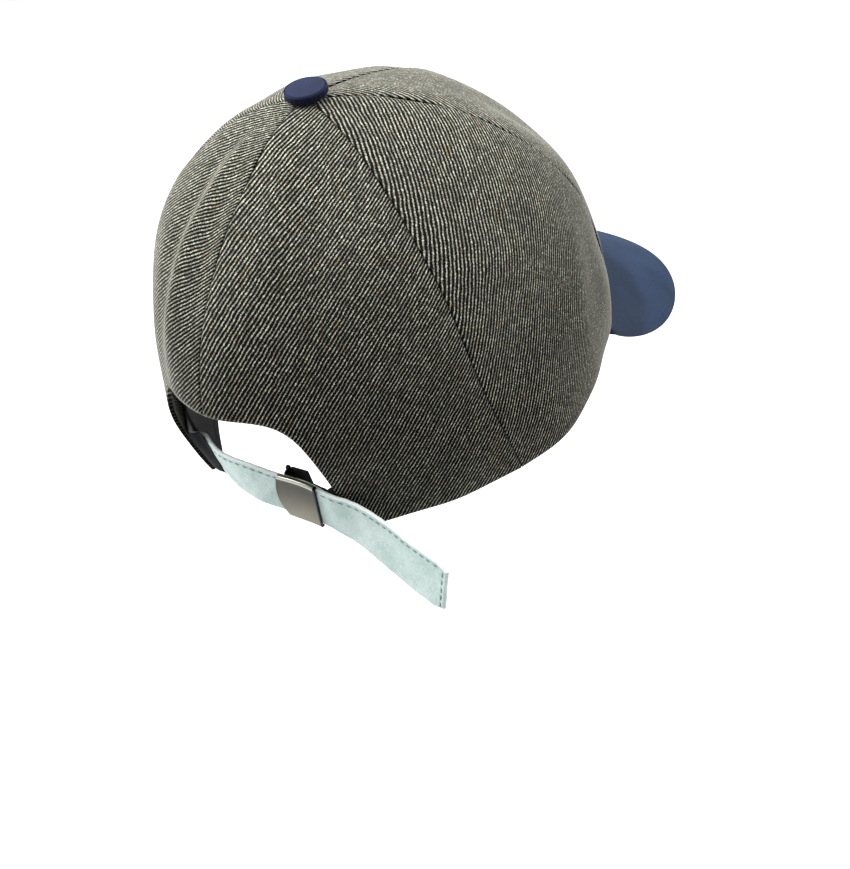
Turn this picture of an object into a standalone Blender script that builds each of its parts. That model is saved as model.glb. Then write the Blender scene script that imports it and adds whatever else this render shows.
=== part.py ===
"""A soft six-panel cap: cloth crown, curved peak, top button, sweatband and a buckled back strap.

Lengths are metres and +Z is up. The peak points to -Y and the wearer's right is -X. The origin is the
middle of the head opening. An angle runs round the crown from the centre back toward the wearer's right,
and a rise runs up it from 0 at the rim to 1 under the button.
"""

import bmesh
import bpy
import numpy as np

# Head opening and crown
HEAD_HALF_WIDTH = 0.0838
BACK_REACH = 0.0911
FRONT_REACH = 0.1011
CROWN_HEIGHT = 0.1274
BUTTON_SETBACK = 0.0152
FOLD_DEPTH = 0.0030
CLOTH = 0.0016
SEAM_GAP = 0.0005
GAP = 0.0003

# Height of the rim over the middle of the head opening
RIM_SIDE_RISE = 0.0033
RIM_BACK_DROP = 0.0088
RIM_FRONT_RISE = 0.0018

# Shape of the crown, as shares of the sizes above
CROWN_LEAN = 0.11
CROWN_POINT = 0.05
TOP_NARROWING = 0.90
PANEL_FLATTENING = 0.052
RIM_FLATTENING = 0.30
RIM_SQUARING = 0.028
FRONT_ROUNDING = 0.55
FRONT_BLUNTING = 0.50

# Opening at the back
ARCH_HALF_WIDTH = 0.0375
ARCH_HEIGHT = 0.0640
ARCH_SQUARENESS = 4.4
ARCH_COLUMNS = 11
ARCH_CROWDING = 1.8

# Sweatband
SWEATBAND_HEIGHT = 0.0330
SWEATBAND_THICKNESS = 0.0012
SWEATBAND_START = np.radians(1.15)
SWEATBAND_LOW_RISE = 0.002
POCKET_REACH = np.radians(22.0)
POCKET_LEVEL = 0.6

# Peak
PEAK_LENGTH = 0.0700
PEAK_HALF_WIDTH = 0.0728
PEAK_THICKNESS = 0.0028
PEAK_HALF_ANGLE = np.radians(54.0)
PEAK_DROOP = 0.66
PEAK_SIDE_DROOP = 0.56
PEAK_ROUNDING = 0.68

# Button
BUTTON_DIAMETER = 0.0148
BUTTON_HEIGHT = 0.0028
SHANK_DIAMETER = 0.0052
SHANK_LENGTH = 0.0032

# Strap, buckle and tab
STRAP_WIDTH = 0.0200
STRAP_THICKNESS = 0.0018
STRAP_CLIP_LENGTH = 0.0048
STRAP_CLIP = 0.16
TAB_WIDTH = 0.0174
TAB_THICKNESS = 0.0010
TAB_RETURN = 0.0070
TAB_REACH = 0.0240
TAB_DIVE = 0.0080
TAB_HEIGHT = 0.0112
TAB_INSIDE = np.radians(9.0)
BUCKLE_LENGTH = 0.0170
BUCKLE_END_ANGLE = np.radians(19.0)
BUCKLE_METAL = 0.0007
BUCKLE_EDGE_BULGE = 0.0030
BAR_DIAMETER = 0.0020
BAR_OVERHANG = -0.0008
BAR_PLACE = 0.12

# The crown's fullness over a plain dome, as shares of its reach, and the shift of its middle toward
# the back, as a share of BUTTON_SETBACK
# rise, side, back, front, shift
CROWN_SECTIONS = (
    (0.00, 0.000, 0.000, 0.000, 0.00),
    (0.25, 0.003, 0.169, 0.074, 0.07),
    (0.50, 0.111, 0.195, 0.071, 0.40),
    (0.75, 0.058, 0.067, 0.110, 0.63),
    (1.00, -0.047, -0.074, -0.027, 1.00),
)

# Where each seam starts at the rim and ends under the button, in degrees
# seam, rim, top
SEAMS = (
    ("centre_back", 0.0, 0.0),
    ("right_back", 69.5, 60.0),
    ("right_front", 129.0, 120.0),
    ("centre_front", 180.0, 180.0),
    ("left_front", 231.0, 240.0),
    ("left_back", 290.5, 300.0),
    ("centre_back_again", 360.0, 360.0),
)

# Folds of the soft cloth. Each runs from a low point to a high one, with its half width in degrees
# and its depth as a share of FOLD_DEPTH, negative for a hollow
# low angle, low rise, high angle, high rise, half width, depth
FOLDS = (
    (-9.0, 0.20, -24.0, 0.90, 6.0, 0.70),
    (-20.0, 0.15, -36.0, 0.85, 7.0, -0.70),
    (2.0, 0.30, -12.0, 0.80, 6.0, -0.40),
    (24.0, 0.25, 42.0, 0.92, 9.0, -0.60),
    (13.0, 0.35, 22.0, 0.85, 6.0, 0.35),
    (34.0, -0.10, 31.0, 0.30, 13.0, -1.00),
    (-36.0, -0.10, -34.0, 0.46, 15.0, 0.90),
    (78.0, -0.10, 84.0, 0.55, 14.0, -0.55),
    (104.0, -0.10, 100.0, 0.50, 10.0, 0.35),
    (-78.0, -0.10, -88.0, 0.60, 14.0, -0.50),
    (-112.0, 0.10, -100.0, 0.75, 11.0, -0.45),
    (150.0, 0.25, 146.0, 0.85, 12.0, -0.50),
    (-152.0, 0.20, -148.0, 0.80, 12.0, -0.40),
    (124.0, -0.15, 122.0, 0.22, 9.0, 0.70),
    (80.0, -0.30, 84.0, 0.35, 12.0, 0.70),
    (-21.0, -0.35, -21.0, 0.30, 6.0, 1.30),
)

# The middle line of the strap, from its sewn end on the wearer's left to the free end of its tail. Its
# stand-off from the rim is a share of HEAD_HALF_WIDTH and its height over the rim a share of STRAP_WIDTH.
# Where it is sewn, 1, it follows the inside of the cloth instead
# angle, stand-off, height, twist in degrees, sewn
STRAP_LINE = (
    (-38.0, -0.020, 0.66, 6.0, 1.0),
    (-27.5, -0.030, 0.70, 6.0, 1.0),
    (-22.0, -0.030, 0.76, 6.0, 0.0),
    (-14.0, -0.050, 0.78, 6.0, 0.0),
    (-3.8, -0.079, 0.83, -1.0, 0.0),
    (7.5, -0.090, 0.77, 0.0, 0.0),
    (18.0, -0.026, 0.79, -1.0, 0.0),
    (22.5, 0.022, 0.71, 0.0, 0.0),
    (27.0, 0.043, 0.42, 3.0, 0.0),
    (32.5, 0.076, -0.08, 3.0, 0.0),
    (37.9, 0.132, -0.73, -12.0, 0.0),
    (43.8, 0.336, -0.59, -17.0, 0.0),
)


def place(points, name, material, thickness=0.0, offset=-1.0):
    """Adds a mesh of a grid of points (columns, rows, 3), as a shell of the given thickness."""
    columns, rows = points.shape[:2]
    mesh = bpy.data.meshes.new(name)
    shell = bmesh.new()
    bmesh.ops.create_grid(shell, x_segments=columns - 1, y_segments=rows - 1, size=1.0)
    shell.verts.ensure_lookup_table()
    for vert, point in zip(shell.verts, points.transpose(1, 0, 2).reshape(-1, 3)):
        vert.co = point
    shell.to_mesh(mesh)
    shell.free()
    mesh.shade_smooth()
    mesh.materials.append(material)
    piece = bpy.data.objects.new(name, mesh)
    cap.objects.link(piece)
    if thickness:
        wall = piece.modifiers.new("Wall", "SOLIDIFY")
        wall.thickness = thickness
        wall.offset = offset
        wall.use_even_offset = False
    return piece


def finish(name, colour, roughness, metallic=0.0):
    """A plain material of one colour."""
    material = bpy.data.materials.new(name)
    material.use_nodes = True
    shader = material.node_tree.nodes["Principled BSDF"]
    shader.inputs["Base Color"].default_value = (*colour, 1.0)
    shader.inputs["Roughness"].default_value = roughness
    shader.inputs["Metallic"].default_value = metallic
    return material


def smooth_curve(at, knots, values):
    """A smooth curve through values at knots: cubic pieces, with slopes taken from each knot's neighbours."""
    knots, values = np.asarray(knots), np.asarray(values)
    slopes = np.gradient(values, knots, axis=0)
    at = np.asarray(at, float)
    cell = np.clip(np.searchsorted(knots, at, side="right") - 1, 0, len(knots) - 2)
    size = (knots[cell + 1] - knots[cell]).reshape(at.shape + (1,) * (values.ndim - 1))
    part = (at - knots[cell]).reshape(size.shape) / size
    rest = 1 - part
    start = values[cell] * (1 + 2 * part) + slopes[cell] * size * part
    end = values[cell + 1] * (1 + 2 * rest) - slopes[cell + 1] * size * rest
    return start * rest**2 + end * part**2


def seam_angles(rise):
    """The angle of each seam at each rise, with the seams along the first axis."""
    rise = np.asarray(rise)
    seams = np.radians([row[1:] for row in SEAMS])
    at_rim, at_top = seams.T.reshape(2, -1, *[1] * rise.ndim)
    return at_rim * (1 - rise) + at_top * rise


def between_seams(angle, rise):
    """0 on a seam and 1 midway between two, as the square of a sine."""
    seams = seam_angles(rise)
    share = (np.mod(angle, 2 * np.pi) - seams[:-1]) / (seams[1:] - seams[:-1])
    return (np.sin(np.pi * np.clip(share, 0, 1)) ** 2).sum(axis=0)


def rim_height(angle):
    """Height of the rim: lowest at the back, highest at the sides."""
    back = np.clip(np.cos(angle), 0, 1) ** 2
    front = np.clip(-np.cos(angle), 0, 1) ** 2
    return RIM_SIDE_RISE * np.sin(angle) ** 2 - RIM_BACK_DROP * back + RIM_FRONT_RISE * front


def crown_dome(angle, rise):
    """The crown's outer face without its folds: an egg-shaped dome, drawn flatter between its seams."""
    angle, rise = np.broadcast_arrays(angle, rise)
    table = np.array(CROWN_SECTIONS)
    side, back, front, shift = np.moveaxis(smooth_curve(rise, table[:, 0], table[:, 1:]), -1, 0)
    up = rise * np.pi / 2
    reach = np.where(np.cos(angle) > 0, BACK_REACH * (1 + back), FRONT_REACH * (1 + front))
    toward_front = np.clip(-np.cos(angle), 0, 1)
    flatter = (RIM_FLATTENING + (1 - RIM_FLATTENING) * np.sin(up)) * (1 - FRONT_ROUNDING * toward_front)
    squarer = np.cos(4 * angle) * (1 - toward_front) - FRONT_BLUNTING * toward_front
    drawn = 1 - PANEL_FLATTENING * between_seams(angle, rise) * flatter
    drawn = drawn + RIM_SQUARING * squarer * (1 - rise) ** 2
    x = -HEAD_HALF_WIDTH * (1 + side) * np.cos(up) * np.sin(angle) * drawn
    depth = reach * np.cos(up) * np.cos(angle) * drawn
    z = CROWN_HEIGHT * ((1 - CROWN_POINT) * np.sin(up) + CROWN_POINT * rise)
    z = z + CROWN_LEAN * rise**2 * depth + rim_height(angle) * (1 - rise) ** 2
    return np.stack([x, BUTTON_SETBACK * shift + depth, z], axis=-1)


def outward(surface, angle, rise, step=0.002):
    """The unit normals of a surface of angle and rise, pointing out."""
    along = surface(angle + step, rise) - surface(angle - step, rise)
    up = surface(angle, rise + step) - surface(angle, rise - step)
    normal = np.cross(along, up)
    return normal / np.linalg.norm(normal, axis=-1, keepdims=True)


def fold_height(angle, rise):
    """How far the folds lift the cloth: each is a bell curve across its line and fades at both ends."""
    lift = np.zeros(np.broadcast(angle, rise).shape)
    for low_angle, low_rise, high_angle, high_rise, half_width, depth in FOLDS:
        share = np.clip((rise - low_rise) / (high_rise - low_rise), 0, 1)
        middle = np.radians(low_angle + (high_angle - low_angle) * share)
        across = np.angle(np.exp(1j * (angle - middle))) / np.radians(half_width)
        lift += depth * np.exp(-(across**2)) * np.sin(np.pi * share) ** 2
    return FOLD_DEPTH * lift


def crown_face(angle, rise):
    """The crown's outer face: the dome with its folds."""
    angle, rise = np.broadcast_arrays(angle, rise)
    lift = fold_height(angle, rise)[..., None]
    return crown_dome(angle, rise) + lift * outward(crown_dome, angle, rise)


def crown_inset(angle, rise, depth):
    """Points a given depth inside the crown's outer face."""
    angle, rise = np.broadcast_arrays(angle, rise)
    depth = np.broadcast_to(depth, angle.shape)[..., None]
    return crown_face(angle, rise) - depth * outward(crown_face, angle, rise)


def arch_edge(columns):
    """Angles and rises of the arch's edge, a superellipse, with its points closer near the corner."""
    share = 1 - (1 - np.linspace(0, 1, columns)) ** ARCH_CROWDING
    return ARCH_ANGLE * share, ARCH_RISE * (1 - share**ARCH_SQUARENESS) ** (1 / ARCH_SQUARENESS)


def rise_at(height, angle, steps=200):
    """The rise at which the crown stands this high over its rim."""
    rises = np.linspace(0, 1, steps)[:-1]
    heights = crown_dome(angle, rises)[:, 2]
    return float(np.interp(height, heights - heights[0], rises))


def panel(name, first, columns, rows, arch_from=None):
    """One cloth panel from the seam numbered first to the next. A back panel's lower edge is the arch."""
    share = np.linspace(0, 1, columns)
    low = np.zeros(columns)
    if arch_from is not None:
        arch_angles, arch_rises = arch_edge(ARCH_COLUMNS)
        rest = np.linspace(0, 1, columns - len(arch_angles) + 1)[1:]
        corner = ARCH_ANGLE / seam_angles(0.0)[1]
        share = np.concatenate([corner * arch_angles / ARCH_ANGLE, corner + (1 - corner) * rest])
        low = np.concatenate([arch_rises, np.zeros(len(rest))])
        if arch_from == "last":
            share, low = 1 - share[::-1], low[::-1]
    part = np.linspace(0, 1, rows)
    rise = TOP_RISE * part + low[:, None] * (1 - part) ** 2
    seams = seam_angles(rise)
    start, end = seams[first], seams[first + 1]
    width = np.linalg.norm(crown_dome(end, rise) - crown_dome(start, rise), axis=-1)
    margin = SEAM_GAP / 2 / width
    angle = start + (end - start) * (margin + (1 - 2 * margin) * share[:, None])
    return place(crown_face(angle, rise), name, twill, CLOTH)


def sweatband():
    """The black band inside the rim, from one corner of the arch round the front to the other."""
    start = ARCH_ANGLE + SWEATBAND_START
    angle = np.linspace(start, 2 * np.pi - start, 61)[:, None]
    top = rise_at(SWEATBAND_HEIGHT, np.pi / 2)
    rise = np.linspace(SWEATBAND_LOW_RISE, top, 5)[None, :]
    from_corner = np.minimum(angle - start, 2 * np.pi - start - angle) / POCKET_REACH
    pocket = 0.5 + 0.5 * np.cos(np.pi * np.clip(from_corner - POCKET_LEVEL, 0, 1))
    depth = CLOTH + 2 * GAP + (STRAP_THICKNESS + GAP) * pocket
    return place(crown_inset(angle, rise, depth), "sweatband", black_cloth, SWEATBAND_THICKNESS)


def peak():
    """The curved peak. It starts flat under the rim, then droops, and more so toward its two ends."""
    across = np.linspace(-1, 1, 29)
    root_angle = np.pi + across * PEAK_HALF_ANGLE
    seat = crown_face(root_angle, 0.0)
    inner = crown_inset(root_angle, 0.0, CLOTH)
    seat[:, 2] = inner[:, 2] = np.minimum(seat[:, 2], inner[:, 2]) - GAP
    turn = across * np.pi / 2
    corner_y = seat[0, 1]
    tip_y = -(FRONT_REACH + PEAK_LENGTH)
    edge_x = PEAK_HALF_WIDTH * np.sign(across) * np.abs(np.sin(turn)) ** PEAK_ROUNDING
    edge_y = corner_y + (tip_y - corner_y) * np.clip(np.cos(turn), 0, 1) ** PEAK_ROUNDING
    length = np.hypot(edge_x - seat[:, 0], edge_y - seat[:, 1])
    edge_z = seat[:, 2] - (PEAK_DROOP + PEAK_SIDE_DROOP * across**2) * length
    edge = np.stack([edge_x, edge_y, edge_z], axis=-1)
    out = np.linspace(0, 1, 9)[None, :, None]
    field = seat[:, None] + (edge - seat)[:, None] * out
    return place(np.concatenate([inner[:, None], field], axis=1)[::-1], "peak", navy_cloth, PEAK_THICKNESS)


def turned(name, profile, steps, material):
    """A solid of revolution about Z from a profile of (radius, height) pairs."""
    mesh = bpy.data.meshes.new(name)
    outline = bmesh.new()
    verts = [outline.verts.new((radius, 0.0, height)) for radius, height in profile]
    for lower, upper in zip(verts, verts[1:]):
        outline.edges.new((lower, upper))
    outline.to_mesh(mesh)
    outline.free()
    mesh.materials.append(material)
    piece = bpy.data.objects.new(name, mesh)
    cap.objects.link(piece)
    spin = piece.modifiers.new("Turn", "SCREW")
    spin.steps = spin.render_steps = steps
    spin.use_merge_vertices = True
    spin.merge_threshold = 0.00001
    spin.use_normal_calculate = True
    spin.use_smooth_shade = True
    return piece


def button():
    """The cloth-covered button over the hole where the panels meet, with a shank that goes down through it."""
    radius = BUTTON_DIAMETER / 2
    shank = SHANK_DIAMETER / 2
    dome = [(radius * np.cos(turn), BUTTON_HEIGHT * (0.35 + 0.65 * np.sin(turn)))
            for turn in np.radians([0, 22, 45, 67])]
    profile = [(0.0, -SHANK_LENGTH), (shank, -SHANK_LENGTH), (shank, 0.0), (radius * 0.72, -0.0002),
               (radius * 0.97, BUTTON_HEIGHT * 0.08), *dome, (0.0, BUTTON_HEIGHT)]
    piece = turned("button", profile, 28, navy_cloth)
    back_edge, front_edge = crown_face(np.array([0.0, np.pi]), TOP_RISE)
    piece.location = (back_edge + front_edge) / 2 + (0.0, 0.0, 4 * GAP)
    return piece


def strap_knots():
    """The strap line's points, and the share of its length at each."""
    table = np.array(STRAP_LINE)
    angle = np.radians(table[:, 0])
    facing = outward(crown_dome, angle, 0.0) * (1, 1, 0)
    facing /= np.linalg.norm(facing, axis=-1, keepdims=True)
    knots = crown_dome(angle, 0.0) + facing * table[:, 1:2] * HEAD_HALF_WIDTH
    knots[:, 2] += table[:, 2] * STRAP_WIDTH
    span = np.concatenate([[0], np.cumsum(np.linalg.norm(np.diff(knots, axis=0), axis=1))])
    return knots, span / span[-1]


def strap_frames(shares):
    """Points of the strap line, and directions out of its face and up its width, at shares of it."""
    knots, span = strap_knots()
    shares = np.asarray(shares, float)
    points = smooth_curve(shares, span, knots)
    along = smooth_curve(shares + 0.002, span, knots) - smooth_curve(shares - 0.002, span, knots)
    along /= np.linalg.norm(along, axis=-1, keepdims=True)
    level = np.cross(along, (0.0, 0.0, 1.0))
    level /= np.linalg.norm(level, axis=-1, keepdims=True)
    upright = np.cross(level, along)
    twist = np.radians(smooth_curve(shares, span, np.array(STRAP_LINE)[:, 3]))[:, None]
    width = upright * np.cos(twist) + level * np.sin(twist)
    face = level * np.cos(twist) - upright * np.sin(twist)
    return points, face, width


def inside_cloth(angle, height, thickness):
    """Where the middle of a strap of this thickness lies against the inside of the crown, so high over the rim."""
    rise = height / (CROWN_HEIGHT * ((1 - CROWN_POINT) * np.pi / 2 + CROWN_POINT))
    return crown_inset(angle, rise, CLOTH + 1.5 * GAP + thickness / 2)


def strap_length():
    """Length of the strap's middle line."""
    points = strap_frames(np.linspace(0, 1, 200))[0]
    return float(np.linalg.norm(np.diff(points, axis=0), axis=1).sum())


def strap():
    """The suede strap: flat, of even width, sewn inside the left corner, with its free end's corners clipped."""
    clip_start = 1 - STRAP_CLIP_LENGTH / STRAP_TOTAL
    shares = np.concatenate([np.linspace(0, clip_start, 43), [(1 + clip_start) / 2, 1.0]])
    points, _, width = strap_frames(shares)
    _, span = strap_knots()
    angle, _, height, _, sewn = smooth_curve(shares, span, np.array(STRAP_LINE)).T[:, :, None]
    clip = 1 - STRAP_CLIP * np.clip((shares - clip_start) / (1 - clip_start), 0, 1)
    rows = np.linspace(-0.5, 0.5, 4)[None, :] * STRAP_WIDTH * clip[:, None]
    free = points[:, None] + width[:, None] * rows[:, :, None]
    held = inside_cloth(np.radians(angle), height * STRAP_WIDTH + rows, STRAP_THICKNESS)
    sewn = np.clip(sewn, 0, 1)[:, :, None]
    return place(free * (1 - sewn) + held * sewn, "strap", suede, STRAP_THICKNESS, 0.0)


def buckle_plate():
    """The metal plate over the strap: a shallow channel with one bowed end."""
    depth = STRAP_THICKNESS / 2 + PLATE_CLEARANCE + BUCKLE_METAL
    reach = depth + BUCKLE_SIDE
    half = STRAP_WIDTH / 2 + GAP + BUCKLE_METAL
    corner = BUCKLE_METAL * 1.2
    turn = np.radians([0, 30, 60, 90])
    high = np.stack([half - corner + corner * np.sin(turn), depth - corner + corner * np.cos(turn)], axis=1)
    height = np.concatenate([[-half], -high[::-1, 0], np.linspace(-0.7, 0.7, 5) * half, high[:, 0], [half]])
    out = np.concatenate([[depth - reach], high[::-1, 1], np.full(5, depth), high[:, 1], [depth - reach]])
    bow = BUCKLE_EDGE_BULGE / STRAP_TOTAL * np.clip(1 - (height / half) ** 2, 0, 1)
    start = BUCKLE_START - bow
    share = start[None, :] + (BUCKLE_END - start[None, :]) * np.linspace(0, 1, 9)[:, None]
    points, face, width = strap_frames(share.reshape(-1))
    grid = points.reshape(*share.shape, 3)
    face = face.reshape(*share.shape, 3)
    width = width.reshape(*share.shape, 3)
    grid = grid + face * out[None, :, None] + width * height[None, :, None]
    return place(grid, "buckle_plate", brushed_metal, BUCKLE_METAL)


def buckle_bar():
    """The round bar that the black tab is looped on, across the strap at the buckle's bowed end."""
    points, face, width = strap_frames([BAR_SHARE])
    centre = points[0] - face[0] * BAR_DEPTH
    half = STRAP_WIDTH / 2 + BAR_OVERHANG
    curve = bpy.data.curves.new("buckle_bar", "CURVE")
    curve.dimensions = "3D"
    curve.bevel_depth = BAR_DIAMETER / 2
    curve.bevel_resolution = 2
    curve.use_fill_caps = True
    spline = curve.splines.new("POLY")
    spline.points.add(1)
    spline.points[0].co = (*(centre - width[0] * half), 1.0)
    spline.points[1].co = (*(centre + width[0] * half), 1.0)
    curve.materials.append(black_metal)
    piece = bpy.data.objects.new("buckle_bar", curve)
    cap.objects.link(piece)
    return piece


def buckle_tab():
    """The black webbing, from inside the arch's right corner, along under the strap and round the bar."""
    radius = BAR_DIAMETER / 2 + 2 * GAP + TAB_THICKNESS / 2
    turn = np.linspace(0, np.pi, 13)[1:-1]
    outer = np.linspace(TAB_END, BAR_SHARE, 18)
    loop = BAR_SHARE - radius / STRAP_TOTAL * np.sin(turn)
    back = np.linspace(BAR_SHARE, BAR_SHARE + TAB_RETURN / STRAP_TOTAL, 4)
    shares = np.concatenate([outer, loop, back])
    depths = BAR_DEPTH - radius * np.concatenate([np.ones(len(outer)), np.cos(turn), -np.ones(len(back))])
    depths = depths + TAB_DIVE * np.clip((shares - BUCKLE_END) / (TAB_END - BUCKLE_END), 0, 1)
    points, face, width = strap_frames(shares)
    rows = np.linspace(-0.5, 0.5, 3)[None, :] * TAB_WIDTH
    free = (points - face * depths[:, None])[:, None] + width[:, None] * rows[:, :, None]
    _, span = strap_knots()
    past = np.clip((shares - BUCKLE_END) / (TAB_END - BUCKLE_END), 0, 1)[:, None]
    angle = BUCKLE_END_ANGLE + (TAB_END_ANGLE - BUCKLE_END_ANGLE) * past
    buckle_height = STRAP_WIDTH * smooth_curve(BUCKLE_END, span, np.array(STRAP_LINE)[:, 2])
    height = TAB_HEIGHT + (buckle_height - TAB_HEIGHT) * (1 - past)
    held = inside_cloth(angle, height + rows, TAB_THICKNESS)
    sewn = np.clip(past * (TAB_END_ANGLE - BUCKLE_END_ANGLE) / (ARCH_ANGLE - BUCKLE_END_ANGLE), 0, 1)
    sewn = (sewn**2 * (3 - 2 * sewn))[:, :, None]
    return place(free * (1 - sewn) + held * sewn, "buckle_tab", black_cloth, TAB_THICKNESS, 0.0)


for old in list(bpy.data.objects):
    bpy.data.objects.remove(old, do_unlink=True)
cap = bpy.data.collections.new("dad_cap")
bpy.context.scene.collection.children.link(cap)

twill = finish("twill", (0.085, 0.083, 0.072), 0.95)
navy_cloth = finish("navy_cloth", (0.028, 0.052, 0.105), 0.80)
black_cloth = finish("black_cloth", (0.008, 0.008, 0.011), 0.85)
suede = finish("suede", (0.52, 0.64, 0.60), 0.95)
brushed_metal = finish("brushed_metal", (0.19, 0.18, 0.14), 0.35, 1.0)
black_metal = finish("black_metal", (0.012, 0.012, 0.014), 0.30, 1.0)

# Values that follow from the sizes
ARCH_ANGLE = float(np.arcsin(ARCH_HALF_WIDTH / HEAD_HALF_WIDTH))
ARCH_RISE = rise_at(ARCH_HEIGHT, 0.0)
TOP_RISE = 1 - (SHANK_DIAMETER / 2 + 2 * GAP) / (HEAD_HALF_WIDTH * np.pi / 2 * TOP_NARROWING)
TAB_END_ANGLE = ARCH_ANGLE + TAB_INSIDE
STRAP_TOTAL = strap_length()
PLATE_CLEARANCE = GAP
BUCKLE_END = float(np.interp(np.degrees(BUCKLE_END_ANGLE), np.array(STRAP_LINE)[:, 0], strap_knots()[1]))
BUCKLE_START = BUCKLE_END - BUCKLE_LENGTH / STRAP_TOTAL
BAR_SHARE = BUCKLE_START + BAR_PLACE * BUCKLE_LENGTH / STRAP_TOTAL
BAR_DEPTH = STRAP_THICKNESS / 2 + 3 * GAP + TAB_THICKNESS + BAR_DIAMETER / 2
BUCKLE_SIDE = -STRAP_THICKNESS / 4
TAB_END = BUCKLE_END + TAB_REACH / STRAP_TOTAL

panel("panel_back_right", 0, 18, 16, "first")
panel("panel_side_right", 1, 13, 16)
panel("panel_front_right", 2, 12, 16)
panel("panel_front_left", 3, 12, 16)
panel("panel_side_left", 4, 13, 16)
panel("panel_back_left", 5, 18, 16, "last")
sweatband()
peak()
button()
strap()
buckle_plate()
buckle_bar()
buckle_tab()
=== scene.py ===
import bpy
import numpy as np
from mathutils import Matrix


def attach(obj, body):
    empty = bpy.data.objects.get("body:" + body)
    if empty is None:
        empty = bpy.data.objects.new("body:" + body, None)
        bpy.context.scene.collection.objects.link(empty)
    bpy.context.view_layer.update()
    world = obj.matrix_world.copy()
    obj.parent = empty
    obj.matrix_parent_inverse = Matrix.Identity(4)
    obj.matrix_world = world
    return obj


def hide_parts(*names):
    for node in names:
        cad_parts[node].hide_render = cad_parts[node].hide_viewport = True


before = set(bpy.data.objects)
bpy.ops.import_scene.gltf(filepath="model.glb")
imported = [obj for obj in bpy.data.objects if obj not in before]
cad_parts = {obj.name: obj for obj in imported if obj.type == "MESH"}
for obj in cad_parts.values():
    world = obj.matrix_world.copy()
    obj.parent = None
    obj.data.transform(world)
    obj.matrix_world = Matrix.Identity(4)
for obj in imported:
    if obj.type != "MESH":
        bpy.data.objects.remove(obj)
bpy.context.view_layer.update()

# Camera, light and floor. The camera looks down at the back of the cap from the wearer's right, with a short
# portrait lens and a slight roll. The light is a bright soft studio, strongest from above.
AZIMUTH, ELEVATION, ROLL = np.radians([223.18, 44.06, -12.684])
CAMERA_POSITION = (-0.23641, 0.24674, 0.28480)
LENS = 43.644
FLOOR_HEIGHT = -0.420
FLOOR_REACH = 6.0

scene = bpy.context.scene
back = np.array([np.sin(AZIMUTH) * np.cos(ELEVATION), -np.cos(AZIMUTH) * np.cos(ELEVATION), np.sin(ELEVATION)])
level = np.cross(-back, (0.0, 0.0, 1.0))
level /= np.linalg.norm(level)
upright = np.cross(level, -back)
pose = np.eye(4)
pose[:3, 0] = level * np.cos(ROLL) + upright * np.sin(ROLL)
pose[:3, 1] = upright * np.cos(ROLL) - level * np.sin(ROLL)
pose[:3, 2] = back
pose[:3, 3] = CAMERA_POSITION
lens = bpy.data.cameras.new("camera")
lens.sensor_fit = "VERTICAL"
lens.sensor_height = 36.0
lens.lens = LENS
lens.clip_start = 0.01
camera = bpy.data.objects.new("camera", lens)
scene.collection.objects.link(camera)
camera.matrix_world = Matrix(pose.tolist())
scene.camera = camera
scene.view_settings.view_transform = "Standard"
scene.view_settings.look = "Medium High Contrast"

studio = bpy.data.worlds.new("studio")
studio.use_nodes = True
studio.node_tree.nodes["Background"].inputs["Color"].default_value = (0.98, 0.99, 1.0, 1.0)
studio.node_tree.nodes["Background"].inputs["Strength"].default_value = 0.55
scene.world = studio

# name, place, size, watts
LAMPS = (
    ("lamp_over", (0.35, -0.50, 1.60), 2.80, 44.0),
    ("lamp_left", (1.15, 0.30, 0.85), 1.00, 19.0),
    ("lamp_right", (-1.00, -1.10, 0.60), 1.00, 8.0),
    ("lamp_back", (-1.00, 1.00, 0.30), 0.80, 2.0),
)
for name, place, size, watts in LAMPS:
    lamp = bpy.data.lights.new(name, "AREA")
    lamp.shape = "DISK"
    lamp.size = size
    lamp.energy = watts
    holder = bpy.data.objects.new(name, lamp)
    scene.collection.objects.link(holder)
    toward = -np.array(place) / np.linalg.norm(place)
    side = np.cross((0.0, 1.0, 0.0), -toward)
    side /= np.linalg.norm(side)
    turn = np.eye(4)
    turn[:3, 0], turn[:3, 1], turn[:3, 2], turn[:3, 3] = side, np.cross(-toward, side), -toward, place
    holder.matrix_world = Matrix(turn.tolist())

floor_mesh = bpy.data.meshes.new("floor")
floor_corners = [(x * FLOOR_REACH, y * FLOOR_REACH, FLOOR_HEIGHT) for x, y in ((-1, -1), (1, -1), (1, 1), (-1, 1))]
floor_mesh.from_pydata(floor_corners, [], [(0, 1, 2, 3)])
floor = bpy.data.objects.new("floor", floor_mesh)
scene.collection.objects.link(floor)
floor_paint = bpy.data.materials.new("floor_paint")
floor_paint.use_nodes = True
floor_paint.node_tree.nodes["Principled BSDF"].inputs["Base Color"].default_value = (0.74, 0.74, 0.74, 1.0)
floor_paint.node_tree.nodes["Principled BSDF"].inputs["Roughness"].default_value = 0.9
floor_mesh.materials.append(floor_paint)


# Crown. Six panels of a steep cream and black twill, cut on the same grain and sewn edge to edge with the raw
# edges turned in. They meet under the button, and the two at the back are cut away in an arch, whose left foot is
# turned over with black cloth.
HEAD_HALF_WIDTH = 0.0838
BACK_REACH = 0.0911
FRONT_REACH = 0.1011
CROWN_HEIGHT = 0.1274
BUTTON_SETBACK = 0.0152
FOLD_DEPTH = 0.0030
CLOTH = 0.0016
SEAM_CLEARANCE = 0.00003
SEAM_GROOVE = 0.00010
# Width of the painted shade along the seams.
SEAM_SHADE_WIDTH = 0.00034
GAP = 0.0003
RIM_SIDE_RISE = 0.0033
RIM_BACK_DROP = 0.0088
RIM_FRONT_RISE = 0.0018
CROWN_LEAN = 0.11
CROWN_POINT = 0.05
TOP_NARROWING = 0.90
LENGTH_OF_RISE = 1.45 * CROWN_HEIGHT
PANEL_FLATTENING = 0.052
RIM_FLATTENING = 0.30
RIM_SQUARING = 0.028
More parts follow.
